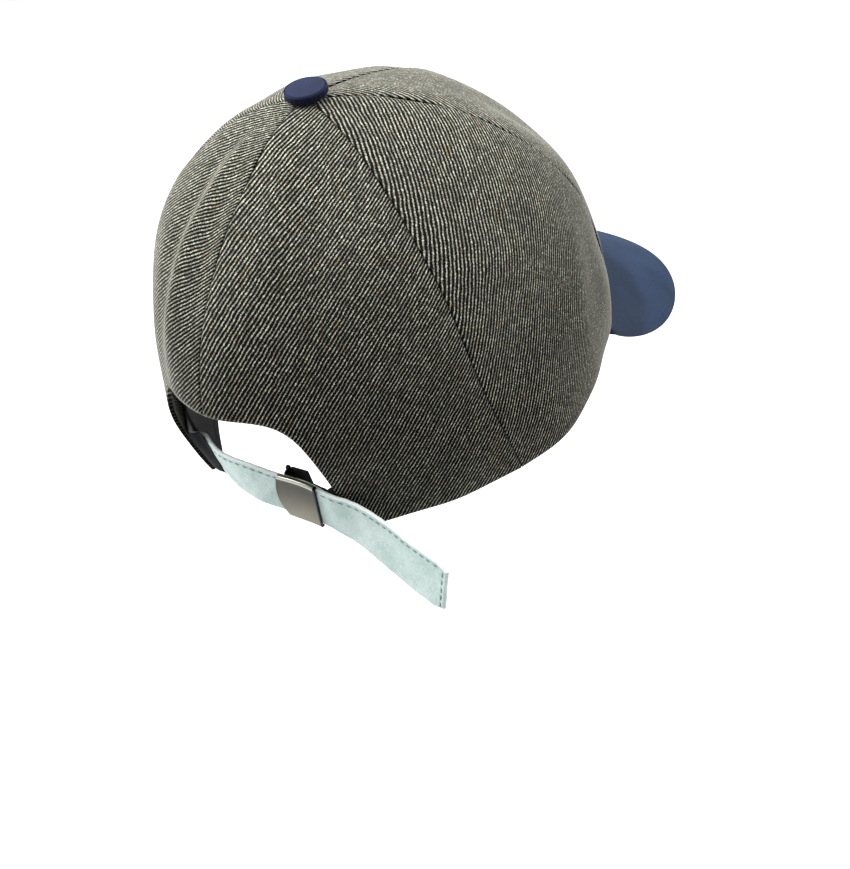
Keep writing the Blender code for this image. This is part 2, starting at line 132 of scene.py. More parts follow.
FRONT_ROUNDING = 0.55
FRONT_BLUNTING = 0.50
ARCH_HALF_WIDTH = 0.0375
ARCH_HEIGHT = 0.0640
ARCH_SQUARENESS = 4.4
SHANK_DIAMETER = 0.0052
TURNED_EDGE = 0.0013
TURNED_DEPTH = 0.00030
PUCKER = 0.00005
PUCKER_PITCH = 0.0036
PUCKER_REACH = 0.0042
UNEVEN_ACROSS = 0.00016
UNEVEN_UP = 0.00014
TWILL_PITCH = 0.00125
FLOAT_LENGTH = 0.00130
TWILL_ANGLE = np.radians(48.5)
BOUND_RISE = 0.240
BOUND_ANGLE = np.radians(34.0)
BOUND_SLANT = 0.8
# Strength of the painted shade along the seams.
SEAM_SHADE_PAINT = 0.85

# rise, side, back, front, shift
CROWN_SECTIONS = (
    (0.00, 0.000, 0.000, 0.000, 0.00),
    (0.25, 0.003, 0.169, 0.074, 0.07),
    (0.50, 0.111, 0.195, 0.071, 0.40),
    (0.75, 0.058, 0.067, 0.110, 0.63),
    (1.00, -0.047, -0.074, -0.027, 1.00),
)

# degrees at the rim, degrees at the top
SEAMS = ((0.0, 0.0), (69.5, 60.0), (129.0, 120.0), (180.0, 180.0), (231.0, 240.0), (290.5, 300.0), (360.0, 360.0))

# low angle, low rise, high angle, high rise, half width, depth
FOLDS = (
    (-9.0, 0.20, -24.0, 0.90, 6.0, 0.70),
    (-20.0, 0.15, -36.0, 0.85, 7.0, -0.70),
    (2.0, 0.30, -12.0, 0.80, 6.0, -0.40),
    (24.0, 0.25, 42.0, 0.92, 9.0, -0.60),
    (13.0, 0.35, 22.0, 0.85, 6.0, 0.35),
    (34.0, -0.10, 31.0, 0.30, 13.0, -1.00),
    (-36.0, -0.10, -34.0, 0.46, 15.0, 0.90),
    (78.0, -0.10, 84.0, 0.55, 14.0, -0.55),
    (104.0, -0.10, 100.0, 0.50, 10.0, 0.35),
    (-78.0, -0.10, -88.0, 0.60, 14.0, -0.50),
    (-112.0, 0.10, -100.0, 0.75, 11.0, -0.45),
    (150.0, 0.25, 146.0, 0.85, 12.0, -0.50),
    (-152.0, 0.20, -148.0, 0.80, 12.0, -0.40),
    (124.0, -0.15, 122.0, 0.22, 9.0, 0.70),
    (80.0, -0.30, 84.0, 0.35, 12.0, 0.70),
    (-21.0, -0.35, -21.0, 0.30, 6.0, 1.30),
)


def smooth_curve(at, knots, values):
    """A smooth curve through values at knots: cubic pieces whose slopes are those between their neighbours."""
    knots, values = np.asarray(knots), np.asarray(values)
    slopes = np.gradient(values, knots, axis=0)
    at = np.asarray(at, float)
    cell = np.clip(np.searchsorted(knots, at, side="right") - 1, 0, len(knots) - 2)
    size = (knots[cell + 1] - knots[cell]).reshape(at.shape + (1,) * (values.ndim - 1))
    part = (at - knots[cell]).reshape(size.shape) / size
    rest = 1 - part
    start = values[cell] * (1 + 2 * part) + slopes[cell] * size * part
    end = values[cell + 1] * (1 + 2 * rest) - slopes[cell + 1] * size * rest
    return start * rest**2 + end * part**2


def seam_angles(rise):
    """Each seam's angle at each rise: a straight line from its angle at the rim to its angle at the top."""
    rise = np.asarray(rise)
    at_rim, at_top = np.radians(SEAMS).T.reshape(2, -1, *[1] * rise.ndim)
    return at_rim * (1 - rise) + at_top * rise


def between_seams(angle, rise):
    """The square of a sine: 0 on a seam and 1 midway between two."""
    seams = seam_angles(rise)
    share = (np.mod(angle, 2 * np.pi) - seams[:-1]) / (seams[1:] - seams[:-1])
    return (np.sin(np.pi * np.clip(share, 0, 1)) ** 2).sum(axis=0)


def rim_height(angle):
    """Height of the rim: squared cosines that drop it at the back and lift it at the sides and the front."""
    behind = np.clip(np.cos(angle), 0, 1) ** 2
    front = np.clip(-np.cos(angle), 0, 1) ** 2
    return RIM_SIDE_RISE * np.sin(angle) ** 2 - RIM_BACK_DROP * behind + RIM_FRONT_RISE * front


def crown_dome(angle, rise):
    """A quarter circle of rise turned through angle, fuller by the table of sections, flatter between seams."""
    angle, rise = np.broadcast_arrays(angle, rise)
    table = np.array(CROWN_SECTIONS)
    wide, behind, front, shift = np.moveaxis(smooth_curve(rise, table[:, 0], table[:, 1:]), -1, 0)
    up = rise * np.pi / 2
    reach = np.where(np.cos(angle) > 0, BACK_REACH * (1 + behind), FRONT_REACH * (1 + front))
    toward_front = np.clip(-np.cos(angle), 0, 1)
    flatter = (RIM_FLATTENING + (1 - RIM_FLATTENING) * np.sin(up)) * (1 - FRONT_ROUNDING * toward_front)
    squarer = np.cos(4 * angle) * (1 - toward_front) - FRONT_BLUNTING * toward_front
    drawn = 1 - PANEL_FLATTENING * between_seams(angle, rise) * flatter
    drawn = drawn + RIM_SQUARING * squarer * (1 - rise) ** 2
    x = -HEAD_HALF_WIDTH * (1 + wide) * np.cos(up) * np.sin(angle) * drawn
    depth = reach * np.cos(up) * np.cos(angle) * drawn
    z = CROWN_HEIGHT * ((1 - CROWN_POINT) * np.sin(up) + CROWN_POINT * rise)
    z = z + CROWN_LEAN * rise**2 * depth + rim_height(angle) * (1 - rise) ** 2
    return np.stack([x, BUTTON_SETBACK * shift + depth, z], axis=-1)


def outward(surface, angle, rise, step=0.002):
    """Unit normals of a surface of angle and rise: the cross product of its two slopes."""
    along = surface(angle + step, rise) - surface(angle - step, rise)
    up = surface(angle, rise + step) - surface(angle, rise - step)
    normal = np.cross(along, up)
    return normal / np.linalg.norm(normal, axis=-1, keepdims=True)


def fold_height(angle, rise):
    """Sum of the folds: each is a bell curve across its line, times a squared sine along it."""
    lift = np.zeros(np.broadcast(angle, rise).shape)
    for low_angle, low_rise, high_angle, high_rise, half_width, depth in FOLDS:
        share = np.clip((rise - low_rise) / (high_rise - low_rise), 0, 1)
        middle = np.radians(low_angle + (high_angle - low_angle) * share)
        across = np.angle(np.exp(1j * (angle - middle))) / np.radians(half_width)
        lift += depth * np.exp(-(across**2)) * np.sin(np.pi * share) ** 2
    return FOLD_DEPTH * lift


def crown_face(angle, rise):
    """The dome, moved along its normals by the height of the folds."""
    angle, rise = np.broadcast_arrays(angle, rise)
    return crown_dome(angle, rise) + fold_height(angle, rise)[..., None] * outward(crown_dome, angle, rise)


def crown_inset(angle, rise, depth):
    """The crown's face, moved inward along its normals by a depth."""
    angle, rise = np.broadcast_arrays(angle, rise)
    depth = np.broadcast_to(depth, angle.shape)[..., None]
    return crown_face(angle, rise) - depth * outward(crown_face, angle, rise)


def grid_faces(index):
    """Quads between the neighbours of a two-way array of point numbers, turned so that they face outward."""
    return np.stack([index[:-1, :-1], index[1:, :-1], index[1:, 1:], index[:-1, 1:]], axis=-1).reshape(-1, 4)


def add_piece(name, points, faces, material, uv=None, sharp=None):
    """Puts points, quads and flat pattern coordinates for each point into a new smooth mesh."""
    mesh = bpy.data.meshes.new(name)
    mesh.from_pydata(np.asarray(points).reshape(-1, 3).tolist(), [], [list(face) for face in faces])
    mesh.shade_smooth()
    if sharp is not None:
        mesh.set_sharp_from_angle(angle=np.radians(sharp))
    if uv is not None:
        corners = np.empty(len(mesh.loops), np.int32)
        mesh.loops.foreach_get("vertex_index", corners)
        layer = mesh.uv_layers.new(name="weave")
        layer.uv.foreach_set("vector", np.asarray(uv, np.float32).reshape(-1, 2)[corners].reshape(-1))
    mesh.materials.append(material)
    piece = bpy.data.objects.new(name, mesh)
    scene.collection.objects.link(piece)
    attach(piece, "root")
    return piece


def add_shade(piece, values):
    """Stores a number for each point, 1 where the cloth keeps its colour and less where it is painted darker: painted
    shade along the seams, under the crown on the peak, along the peak's edge and round the button, and the black
    binding at the arch's left foot.
    """
    layer = piece.data.attributes.new("shade", "FLOAT", "POINT")
    layer.data.foreach_set("value", np.asarray(values, np.float32).reshape(-1))


def sheet_normals(sheet):
    """Unit normals of a sheet of points: the cross product of its steps along and across."""
    normal = np.cross(*np.gradient(sheet, axis=(0, 1)))
    return normal / np.linalg.norm(normal, axis=-1, keepdims=True)


def closed_shell(name, outer, inner, material, uv, faces=None, sharp=None):
    """An outer and an inner sheet with the same faces, those of a grid unless others are given.

    Each edge that one face alone uses gets a wall from sheet to sheet.
    """
    if faces is None:
        faces = grid_faces(np.arange(outer[..., 0].size).reshape(outer.shape[:2]))
    outer, inner, uv = outer.reshape(-1, 3), inner.reshape(-1, 3), uv.reshape(-1, 2)
    count = len(outer)
    edges = np.concatenate([faces[:, [k, (k + 1) % 4]] for k in range(4)])
    forward, backward = edges[:, 0] * count + edges[:, 1], edges[:, 1] * count + edges[:, 0]
    border = edges[~np.isin(forward, backward)]
    walls = np.stack([border[:, 1], border[:, 0], border[:, 0] + count, border[:, 1] + count], axis=1)
    quads = np.concatenate([faces, faces[:, ::-1] + count, walls])
    return add_piece(name, np.concatenate([outer, inner]), quads.tolist(), material, np.concatenate([uv, uv]), sharp)


def ends_closer(count, tightness):
    """Shares from 0 to 1 whose steps are shorter at both ends: a straight line less a sine wave."""
    share = np.linspace(0, 1, count)
    return share - tightness * np.sin(2 * np.pi * share) / (2 * np.pi)


def new_material(name, colour, roughness, metallic=0.0):
    """A material with its colour, roughness and metal set on the shader."""
    material = bpy.data.materials.new(name)
    material.use_nodes = True
    shader = material.node_tree.nodes["Principled BSDF"]
    shader.inputs["Base Color"].default_value = (*colour, 1.0)
    shader.inputs["Roughness"].default_value = roughness
    shader.inputs["Metallic"].default_value = metallic
    return material, material.node_tree, shader


def add_node(tree, kind, values=None, **settings):
    """A shader node with its settings, and its sockets linked or set by number or name."""
    new = tree.nodes.new(kind)
    for key, value in settings.items():
        setattr(new, key, value)
    for key, value in (values or {}).items():
        if isinstance(value, bpy.types.NodeSocket):
            tree.links.new(value, new.inputs[key])
        else:
            new.inputs[key].default_value = value
    return new


def maths(tree, operation, *values):
    """The result of one sum on numbers or sockets."""
    return add_node(tree, "ShaderNodeMath", dict(enumerate(values)), operation=operation).outputs[0]


def mix_colours(tree, share, low, high):
    """Colour that goes from low to high with share."""
    new = add_node(tree, "ShaderNodeMix", data_type="RGBA", clamp_factor=True)
    for socket, value in ((new.inputs[0], share), (new.inputs[6], low), (new.inputs[7], high)):
        if isinstance(value, bpy.types.NodeSocket):
            tree.links.new(value, socket)
        else:
            socket.default_value = value
    return new.outputs[2]


def soft_step(tree, value, low, high):
    """0 under low and 1 over high, with an eased slope between."""
    new = add_node(tree, "ShaderNodeMapRange", {0: value, 1: low, 2: high}, interpolation_type="SMOOTHSTEP")
    return new.outputs[0]


def object_place(tree):
    """The place in the object, as a socket."""
    return add_node(tree, "ShaderNodeTexCoord").outputs["Object"]


def weave_place(tree):
    """The two pattern coordinates, as sockets."""
    flat_place = add_node(tree, "ShaderNodeUVMap", uv_map="weave").outputs[0]
    return add_node(tree, "ShaderNodeSeparateXYZ", {0: flat_place}).outputs


def noise(tree, place, scale, detail=2.0):
    """Smooth noise from 0 to 1 at a place, with so many waves a unit."""
    return add_node(tree, "ShaderNodeTexNoise", {"Vector": place, "Scale": scale, "Detail": detail}).outputs["Fac"]


def bump(tree, shader, height, depth, strength=1.0, base=None):
    """Relief of the given depth in metres under the shader's normal."""
    values = {"Height": height, "Distance": depth, "Strength": strength}
    if base is not None:
        values["Normal"] = base
    new = add_node(tree, "ShaderNodeBump", values)
    tree.links.new(new.outputs[0], shader.inputs["Normal"])
    return new.outputs[0]


# The twill's pattern coordinates count wales across the first axis and yarn floats along the second
twill, tree, shader = new_material("twill_cloth", (0.2, 0.2, 0.18), 0.92)
spot = object_place(tree)
weave = weave_place(tree)
wander = maths(tree, "MULTIPLY_ADD", noise(tree, spot, 220.0, 1.0), 0.60, -0.30)
fuzz = maths(tree, "MULTIPLY_ADD", noise(tree, spot, 2400.0, 1.0), 0.60, -0.30)
wale = maths(tree, "ADD", maths(tree, "ADD", weave[0], wander), fuzz)
number = maths(tree, "FLOOR", maths(tree, "ADD", wale, 0.5))
offset = add_node(tree, "ShaderNodeTexWhiteNoise", {"W": number}, noise_dimensions="1D").outputs["Value"]
length = maths(tree, "ADD", weave[1], offset)
cell = add_node(tree, "ShaderNodeCombineXYZ", {0: number, 1: maths(tree, "FLOOR", length)}).outputs[0]
yarn = add_node(tree, "ShaderNodeTexWhiteNoise", {"Vector": cell}, noise_dimensions="2D").outputs["Value"]
ridge = maths(tree, "COSINE", maths(tree, "MULTIPLY", wale, 2 * np.pi))
# Painted light: from low on the crown toward its top the cream lines grow wider and paler and the black gaps lighter.
# This stands in for the stronger light from above and the sheen on the upper crown.
painted_top_light = soft_step(tree, add_node(tree, "ShaderNodeSeparateXYZ", {0: spot}).outputs[2], 0.028, 0.120)
thin_edge = maths(tree, "MULTIPLY_ADD", painted_top_light, -0.30, 0.42)
full_edge = maths(tree, "MULTIPLY_ADD", painted_top_light, -0.20, 0.95)
along = maths(tree, "ABSOLUTE", maths(tree, "SUBTRACT", maths(tree, "FRACT", length), 0.5))
knot = soft_step(tree, along, 0.50, 0.22)
high = soft_step(tree, ridge, thin_edge, full_edge)
cream = maths(tree, "MULTIPLY", high, maths(tree, "MULTIPLY_ADD", knot, 0.40, 0.60))
shade = maths(tree, "MULTIPLY_ADD", maths(tree, "POWER", yarn, 1.3), 0.60, 0.30)
grain = maths(tree, "MULTIPLY_ADD", noise(tree, spot, 1700.0, 2.0), 1.5, 0.25)
fleck = soft_step(tree, noise(tree, spot, 260.0, 2.0), 0.60, 0.72)
patch = maths(tree, "MULTIPLY_ADD", noise(tree, spot, 38.0, 2.0), 0.50, 0.75)
lightness = maths(tree, "MULTIPLY", maths(tree, "MULTIPLY", shade, grain), patch)
# Painted light: the palest cream is paler toward the top of the crown.
whitest = mix_colours(tree, painted_top_light, (0.50, 0.49, 0.40, 1.0), (0.66, 0.65, 0.535, 1.0))
pale = mix_colours(tree, lightness, (0.050, 0.050, 0.038, 1.0), whitest)
tinted = mix_colours(tree, maths(tree, "MULTIPLY", fleck, 0.55), pale, (0.36, 0.27, 0.12, 1.0))
lint = soft_step(tree, noise(tree, spot, 1500.0, 2.0), 0.50, 0.80)
dark = mix_colours(tree, lint, (0.001, 0.001, 0.0012, 1.0), (0.006, 0.006, 0.0055, 1.0))
# Painted light: the black gaps are lifted toward the top of the crown, as painted sheen.
dark = mix_colours(tree, painted_top_light, dark, mix_colours(tree, lint, (0.012, 0.012, 0.011, 1.0), (0.040, 0.040, 0.035, 1.0)))
woven = mix_colours(tree, cream, dark, tinted)
# The 'shade' number darkens the twill toward black: painted shade along the seams, and the black binding at the
# arch's left foot.
kept = add_node(tree, "ShaderNodeAttribute", attribute_name="shade").outputs["Fac"]
tree.links.new(mix_colours(tree, kept, (0.0015, 0.0015, 0.0018, 1.0), woven), shader.inputs["Base Color"])
bump(tree, shader, cream, 0.00030, 0.8)
shader.inputs["Sheen Weight"].default_value = 0.48
shader.inputs["Sheen Roughness"].default_value = 0.32
shader.inputs["Sheen Tint"].default_value = (0.82, 0.82, 0.74, 1.0)
shader.inputs["Specular IOR Level"].default_value = 0.06


def rise_at(height, angle):
    """The rise at which the crown stands this high over its rim, read back from its heights."""
    rises = np.linspace(0, 0.9, 181)
    heights = crown_dome(angle, rises)[:, 2]
    return float(np.interp(height, heights - heights[0], rises))


ARCH_ANGLE = float(np.arcsin(ARCH_HALF_WIDTH / HEAD_HALF_WIDTH))
ARCH_RISE = rise_at(ARCH_HEIGHT, 0.0)
TOP_RISE = 1 - (SHANK_DIAMETER / 2 + 2 * GAP) / (HEAD_HALF_WIDTH * np.pi / 2 * TOP_NARROWING)


def gore_size(first):
    """A panel's width at each rise and the length up its middle, summed along lines on the dome."""
    rises = np.linspace(0, TOP_RISE, 120)
    seams = seam_angles(rises)
    angle = seams[first] + (seams[first + 1] - seams[first]) * np.linspace(0, 1, 41)[:, None]
    dome = crown_dome(angle, rises[None])
    width = np.linalg.norm(np.diff(dome, axis=0), axis=-1).sum(axis=0)
    length = np.concatenate([[0], np.cumsum(np.linalg.norm(np.diff(dome[20], axis=0), axis=1))])
    return rises, width, length


def plain_grid(first, columns, rows):
    """Angles and rises of a whole panel: level rows from the rim to the top, columns closer at its seams."""
    rise = np.broadcast_to(TOP_RISE * ends_closer(rows, 0.55), (columns, rows))
    seams = seam_angles(rise)
    return seams[first] + (seams[first + 1] - seams[first]) * ends_closer(columns, 0.93)[:, None], rise


def arched_grids(columns_over, columns_beside, rows_beside, rows_above):
    """Angles and rises of a right back panel in two parts that share a line from the arch's shoulder to the top.

    The arch is a superellipse. The part over it hangs columns from the top to its upper edge. The part beside
    it has level rows from its side, and from the shared line, to the seam.
    """
    shoulder = 2 ** (-1 / ARCH_SQUARENESS)
    side = shoulder * ends_closer(2 * rows_beside, 0.6)[:rows_beside] * 2
    side_angle = ARCH_ANGLE * (1 - side**ARCH_SQUARENESS) ** (1 / ARCH_SQUARENESS)
    climb = np.linspace(0, 1, rows_above) ** 0.9
    line_rise = ARCH_RISE * shoulder + (TOP_RISE - ARCH_RISE * shoulder) * climb
    line_share = ARCH_ANGLE * shoulder / seam_angles(ARCH_RISE * shoulder)[1]
    line_angle = line_share * seam_angles(line_rise)[1]
    left_rise = np.concatenate([ARCH_RISE * side, line_rise])
    left_angle = np.concatenate([side_angle, line_angle])
    beside_rise = np.broadcast_to(left_rise, (columns_beside, len(left_rise)))
    share = ends_closer(columns_beside, 0.80)[:, None]
    beside_angle = left_angle + (seam_angles(beside_rise)[1] - left_angle) * share
    across = shoulder * ends_closer(2 * columns_over, 0.93)[:columns_over] * 2 / (1 + 1e-9)
    across = across / across[-1] * shoulder
    low_rise = ARCH_RISE * (1 - across**ARCH_SQUARENESS) ** (1 / ARCH_SQUARENESS)
    over_rise = low_rise[:, None] + (TOP_RISE - low_rise[:, None]) * climb
    start = ARCH_ANGLE * across[:, None]
    over_angle = start + (across[:, None] / shoulder * line_angle[-1] - start) * climb
    over_angle[-1], over_rise[-1] = line_angle, line_rise
    return (over_angle, over_rise), (beside_angle, beside_rise)


def border_distance(angle, rise, share, width, arched):
    """Least distance to the panel's edge: to its seams, to the rim, and to the arch along a ray from its foot."""
    near = np.minimum(np.minimum(share, 1 - share) * width, rise * LENGTH_OF_RISE)
    if arched:
        turned = np.minimum(angle, 2 * np.pi - angle)
        scaled = (turned / ARCH_ANGLE) ** ARCH_SQUARENESS + (rise / ARCH_RISE) ** ARCH_SQUARENESS
        ratio = np.maximum(scaled ** (1 / ARCH_SQUARENESS), 1.0)
        reach = np.hypot(turned * HEAD_HALF_WIDTH, rise * LENGTH_OF_RISE)
        near = np.minimum(near, reach * (1 - 1 / ratio))
    return near


def crown_panel(name, first, angle, rise, faces, seed):
    """One panel: the crown's face with its edges turned in, puckered along its seams and slightly uneven."""
    rises, widths, lengths = gore_size(first)
    width, up = np.interp(rise, rises, widths), np.interp(rise, rises, lengths)
    seams = seam_angles(rise)
    from_seam, turn = seams[first], seams[first + 1] - seams[first]
    share = np.clip((angle - from_seam) / turn, 0, 1)
    inner_angle = from_seam + turn * (share + (0.5 - share) * 2 * SEAM_CLEARANCE / width)
    share = share + (0.5 - share) * 2 * SEAM_GROOVE / width
    angle = from_seam + turn * share
    near = border_distance(angle, rise, share, width, first in (0, 5))
    seam = np.minimum(share, 1 - share) * width
    phase = np.random.default_rng(seed).uniform(0, 2 * np.pi, 8)
    turned = (1 - np.clip(near / TURNED_EDGE, 0, 1)) ** 2
    wave = np.sin(2 * np.pi * up / PUCKER_PITCH + 1.5 * np.sin(up * 160 + phase[0]) + np.pi * (share > 0.5))
    lift = -TURNED_DEPTH * turned + PUCKER * wave * np.exp(-((seam / PUCKER_REACH) ** 2)) * (1 - turned)
    across = (share - 0.5) * width
    lift = lift + UNEVEN_ACROSS * np.sin(across * 210 + phase[1] + 2 * np.sin(up * 60 + phase[2]))
    lift = lift + UNEVEN_UP * np.sin(up * 170 + phase[3] + 2 * np.sin(across * 75 + phase[4]))
    normal = outward(crown_face, angle, rise)
    face = crown_face(angle, rise)
    sine, cosine = np.sin(TWILL_ANGLE), np.cos(TWILL_ANGLE)
    weave_uv = np.stack([(across * sine - up * cosine) / TWILL_PITCH,
                         (across * cosine + up * sine) / FLOAT_LENGTH], axis=-1)
    inner = crown_inset(inner_angle, rise, CLOTH)
    piece = closed_shell(name + "_cloth", face + normal * lift[..., None], inner, twill, weave_uv, faces)
    # Painted shade: a thin dark line along each seam stands in for the shadow in its groove.
    kept = 1 - SEAM_SHADE_PAINT * np.exp(-((seam / SEAM_SHADE_WIDTH) ** 2))
    if name == "panel_back_left":
        from_back = 2 * np.pi - angle
        top_of_bound = BOUND_RISE - BOUND_SLANT * np.maximum(from_back - ARCH_ANGLE, 0)
        under_top = 1 / (1 + np.exp((rise - top_of_bound) / 0.004))
        kept = kept * (1 - under_top / (1 + np.exp((from_back - BOUND_ANGLE) / 0.006)))
    add_shade(piece, np.concatenate([kept, kept]))
    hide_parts(name)


PLAIN_PANELS = (("panel_side_right", 1), ("panel_front_right", 2), ("panel_front_left", 3), ("panel_side_left", 4))
for name, first in PLAIN_PANELS:
    angle, rise = plain_grid(first, 84, 190)
    faces = grid_faces(np.arange(angle.size).reshape(angle.shape))
    crown_panel(name, first, angle.reshape(-1), rise.reshape(-1), faces, first)

over, beside = arched_grids(44, 56, 64, 134)
beside_index = np.arange(beside[0].size).reshape(beside[0].shape)
over_index = np.arange(over[0][:-1].size).reshape(over[0][:-1].shape) + beside[0].size
over_index = np.concatenate([over_index, beside_index[:1, 64:]])
faces = np.concatenate([grid_faces(over_index), grid_faces(beside_index)])
angle = np.concatenate([beside[0].reshape(-1), over[0][:-1].reshape(-1)])
rise = np.concatenate([beside[1].reshape(-1), over[1][:-1].reshape(-1)])
crown_panel("panel_back_right", 0, angle, rise, faces, 11)
crown_panel("panel_back_left", 5, 2 * np.pi - angle, rise, faces[:, ::-1], 12)


# Sweatband. A folded band of black cotton inside the rim, sewn to it along the bottom, with a soft rolled top
# edge. It stops at the corners of the arch, where the strap and its tab come out of it.
SWEATBAND_HEIGHT = 0.0330
SWEATBAND_THICKNESS = 0.0012
SWEATBAND_START = np.radians(1.15)
SWEATBAND_LOW_RISE = 0.002
POCKET_REACH = np.radians(22.0)
STRAP_WIDTH = 0.0200
STRAP_THICKNESS = 0.0018
COTTON_PITCH = 0.0006

black_cotton, tree, shader = new_material("black_cotton", (0.008, 0.008, 0.011), 0.85)
weave = weave_place(tree)
spot = object_place(tree)
diagonal = maths(tree, "ADD", weave[0], weave[1])
rib = maths(tree, "SINE", maths(tree, "MULTIPLY", diagonal, 2 * np.pi))
# Wear: paler patches at random.
wear_and_painted_light = soft_step(tree, noise(tree, spot, 70.0, 3.0), 0.35, 0.75)
thread = maths(tree, "MULTIPLY_ADD", rib, 0.25, 0.30)
black = maths(tree, "MULTIPLY", wear_and_painted_light, thread)
black = mix_colours(tree, black, (0.0025, 0.0025, 0.004, 1.0), (0.014, 0.014, 0.019, 1.0))
tree.links.new(black, shader.inputs["Base Color"])
bump(tree, shader, rib, 0.00006, 0.6)
shader.inputs["Sheen Weight"].default_value = 0.10
shader.inputs["Specular IOR Level"].default_value = 0.2

start = ARCH_ANGLE + SWEATBAND_START
angle = np.linspace(start, 2 * np.pi - start, 420)[:, None]
height = ends_closer(34, 0.6)[None, :]
rise = SWEATBAND_LOW_RISE + (rise_at(SWEATBAND_HEIGHT, np.pi / 2) - SWEATBAND_LOW_RISE) * height
from_corner = np.minimum(angle - start, 2 * np.pi - start - angle) / POCKET_REACH
pocket = 0.5 + 0.5 * np.cos(np.pi * np.clip(from_corner - 0.6, 0, 1))
ripple = 0.00018 * np.sin(angle * 41 + 2.2 * np.sin(angle * 7)) * height**2
depth = CLOTH + 2 * GAP + (STRAP_THICKNESS + GAP) * pocket + np.abs(ripple)
roll = SWEATBAND_THICKNESS / 2 * (1 - np.sqrt(1 - np.clip(1 - (1 - height) / 0.045, 0, 1) ** 2))
groove = 0.00022 * np.exp(-(((height - 0.13) / 0.022) ** 2))
outer = crown_inset(angle, rise, depth + roll)
inner = crown_inset(angle, rise, depth + SWEATBAND_THICKNESS - roll - groove)
around = np.broadcast_to(angle * HEAD_HALF_WIDTH / COTTON_PITCH, depth.shape)
band_uv = np.stack([around, np.broadcast_to(height * SWEATBAND_HEIGHT / COTTON_PITCH, depth.shape)], axis=-1)
sweatband = closed_shell("sweatband_cloth", outer, inner, black_cotton, band_uv)
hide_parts("sweatband")


# Peak. A stiff board between two layers of fine navy cloth that meet in a seam round its edge. Its root is sewn
# flat under the front of the rim, and it droops from there, more toward its two ends.
PEAK_LENGTH = 0.0700
PEAK_HALF_WIDTH = 0.0728
PEAK_THICKNESS = 0.0028
PEAK_HALF_ANGLE = np.radians(60.0)
PEAK_DROOP = 0.66
PEAK_SIDE_DROOP = 0.56
PEAK_ROUNDING = 0.68
PEAK_CORNER_DROP = 0.0020
PEAK_BEVEL = PEAK_THICKNESS * 0.42
PEAK_SEAM_SWELL = 0.00022
PEAK_SEAM_GROOVE = 0.00025
# Width of the dark line of painted shade along the peak's edge.
PEAK_EDGE_SHADE = 0.0014
# Reach of the painted crown shadow on the peak, from its root.
PEAK_SHADOW_REACH = 0.037
NAVY_PITCH = 0.00055


def navy_cloth(name, deep, bright):
    """Fine plain weave in navy: crossed sine waves for its threads, mottled between two blues, with pale lint."""
    material, tree, shader = new_material(name, bright, 0.78)
    spot = object_place(tree)
    weave = weave_place(tree)
    warp = maths(tree, "SINE", maths(tree, "MULTIPLY", weave[0], 2 * np.pi))
    weft = maths(tree, "SINE", maths(tree, "MULTIPLY", weave[1], 2 * np.pi))
    cross = maths(tree, "MULTIPLY", warp, weft)
    mottle = noise(tree, spot, 55.0, 3.0)
    blue = mix_colours(tree, soft_step(tree, mottle, 0.30, 0.70), (*deep, 1.0), (*bright, 1.0))
    specks = soft_step(tree, noise(tree, spot, 1500.0, 1.0), 0.70, 0.80)
    tinted = mix_colours(tree, maths(tree, "MULTIPLY", specks, 0.45), blue, (0.16, 0.20, 0.27, 1.0))
    thread = maths(tree, "MULTIPLY_ADD", cross, 0.12, 0.12)
    woven = mix_colours(tree, thread, tinted, (0.004, 0.007, 0.016, 1.0))
    # The 'shade' number darkens the cloth where shade is painted on the peak and the button.
    shade = add_node(tree, "ShaderNodeAttribute", attribute_name="shade").outputs["Fac"]
    tree.links.new(mix_colours(tree, shade, (0.0015, 0.0022, 0.0045, 1.0), woven), shader.inputs["Base Color"])
    relief = bump(tree, shader, cross, 0.00005, 0.6)
    bump(tree, shader, mottle, 0.0004, 0.35, relief)
    shader.inputs["Sheen Weight"].default_value = 0.08
    shader.inputs["Sheen Roughness"].default_value = 0.5
    shader.inputs["Sheen Tint"].default_value = (0.50, 0.64, 0.90, 1.0)
    shader.inputs["Specular IOR Level"].default_value = 0.2
    return material


navy = navy_cloth("navy_cloth_fine", (0.0120, 0.0275, 0.062), (0.0198, 0.0385, 0.084))

across = -np.linspace(-1, 1, 181)
root_angle = np.pi + across * PEAK_HALF_ANGLE
seat = crown_face(root_angle, 0.0)
hidden = crown_inset(root_angle, 0.0, CLOTH)
seat[:, 2] = hidden[:, 2] = np.minimum(seat[:, 2], hidden[:, 2]) - GAP
turn = across * np.pi / 2
edge_x = PEAK_HALF_WIDTH * np.sign(across) * np.abs(np.sin(turn)) ** PEAK_ROUNDING
edge_y = seat[0, 1] - (FRONT_REACH + PEAK_LENGTH + seat[0, 1]) * np.clip(np.cos(turn), 0, 1) ** PEAK_ROUNDING
run = np.hypot(edge_x - seat[:, 0], edge_y - seat[:, 1])
edge_z = seat[:, 2] - (PEAK_DROOP + PEAK_SIDE_DROOP * across**2) * run - PEAK_CORNER_DROP * np.abs(across) ** 4
edge = np.stack([edge_x, edge_y, edge_z], axis=-1)
out = ends_closer(64, 0.5)[None, :, None]
top = np.concatenate([hidden[:, None], seat[:, None] + (edge - seat)[:, None] * out], axis=1)
normal = sheet_normals(top[:, 1:])
normal = np.concatenate([normal[:, :1], normal], axis=1)
span = np.linalg.norm(edge - seat, axis=1)[:, None]
to_edge = np.concatenate([span, span * (1 - out[:, :, 0])], axis=1)
bevel = PEAK_BEVEL * (1 - np.sqrt(1 - np.clip(1 - to_edge / PEAK_BEVEL, 0, 1) ** 2))
swell = PEAK_SEAM_SWELL * np.exp(-(((to_edge - 0.0046) / 0.0013) ** 2))
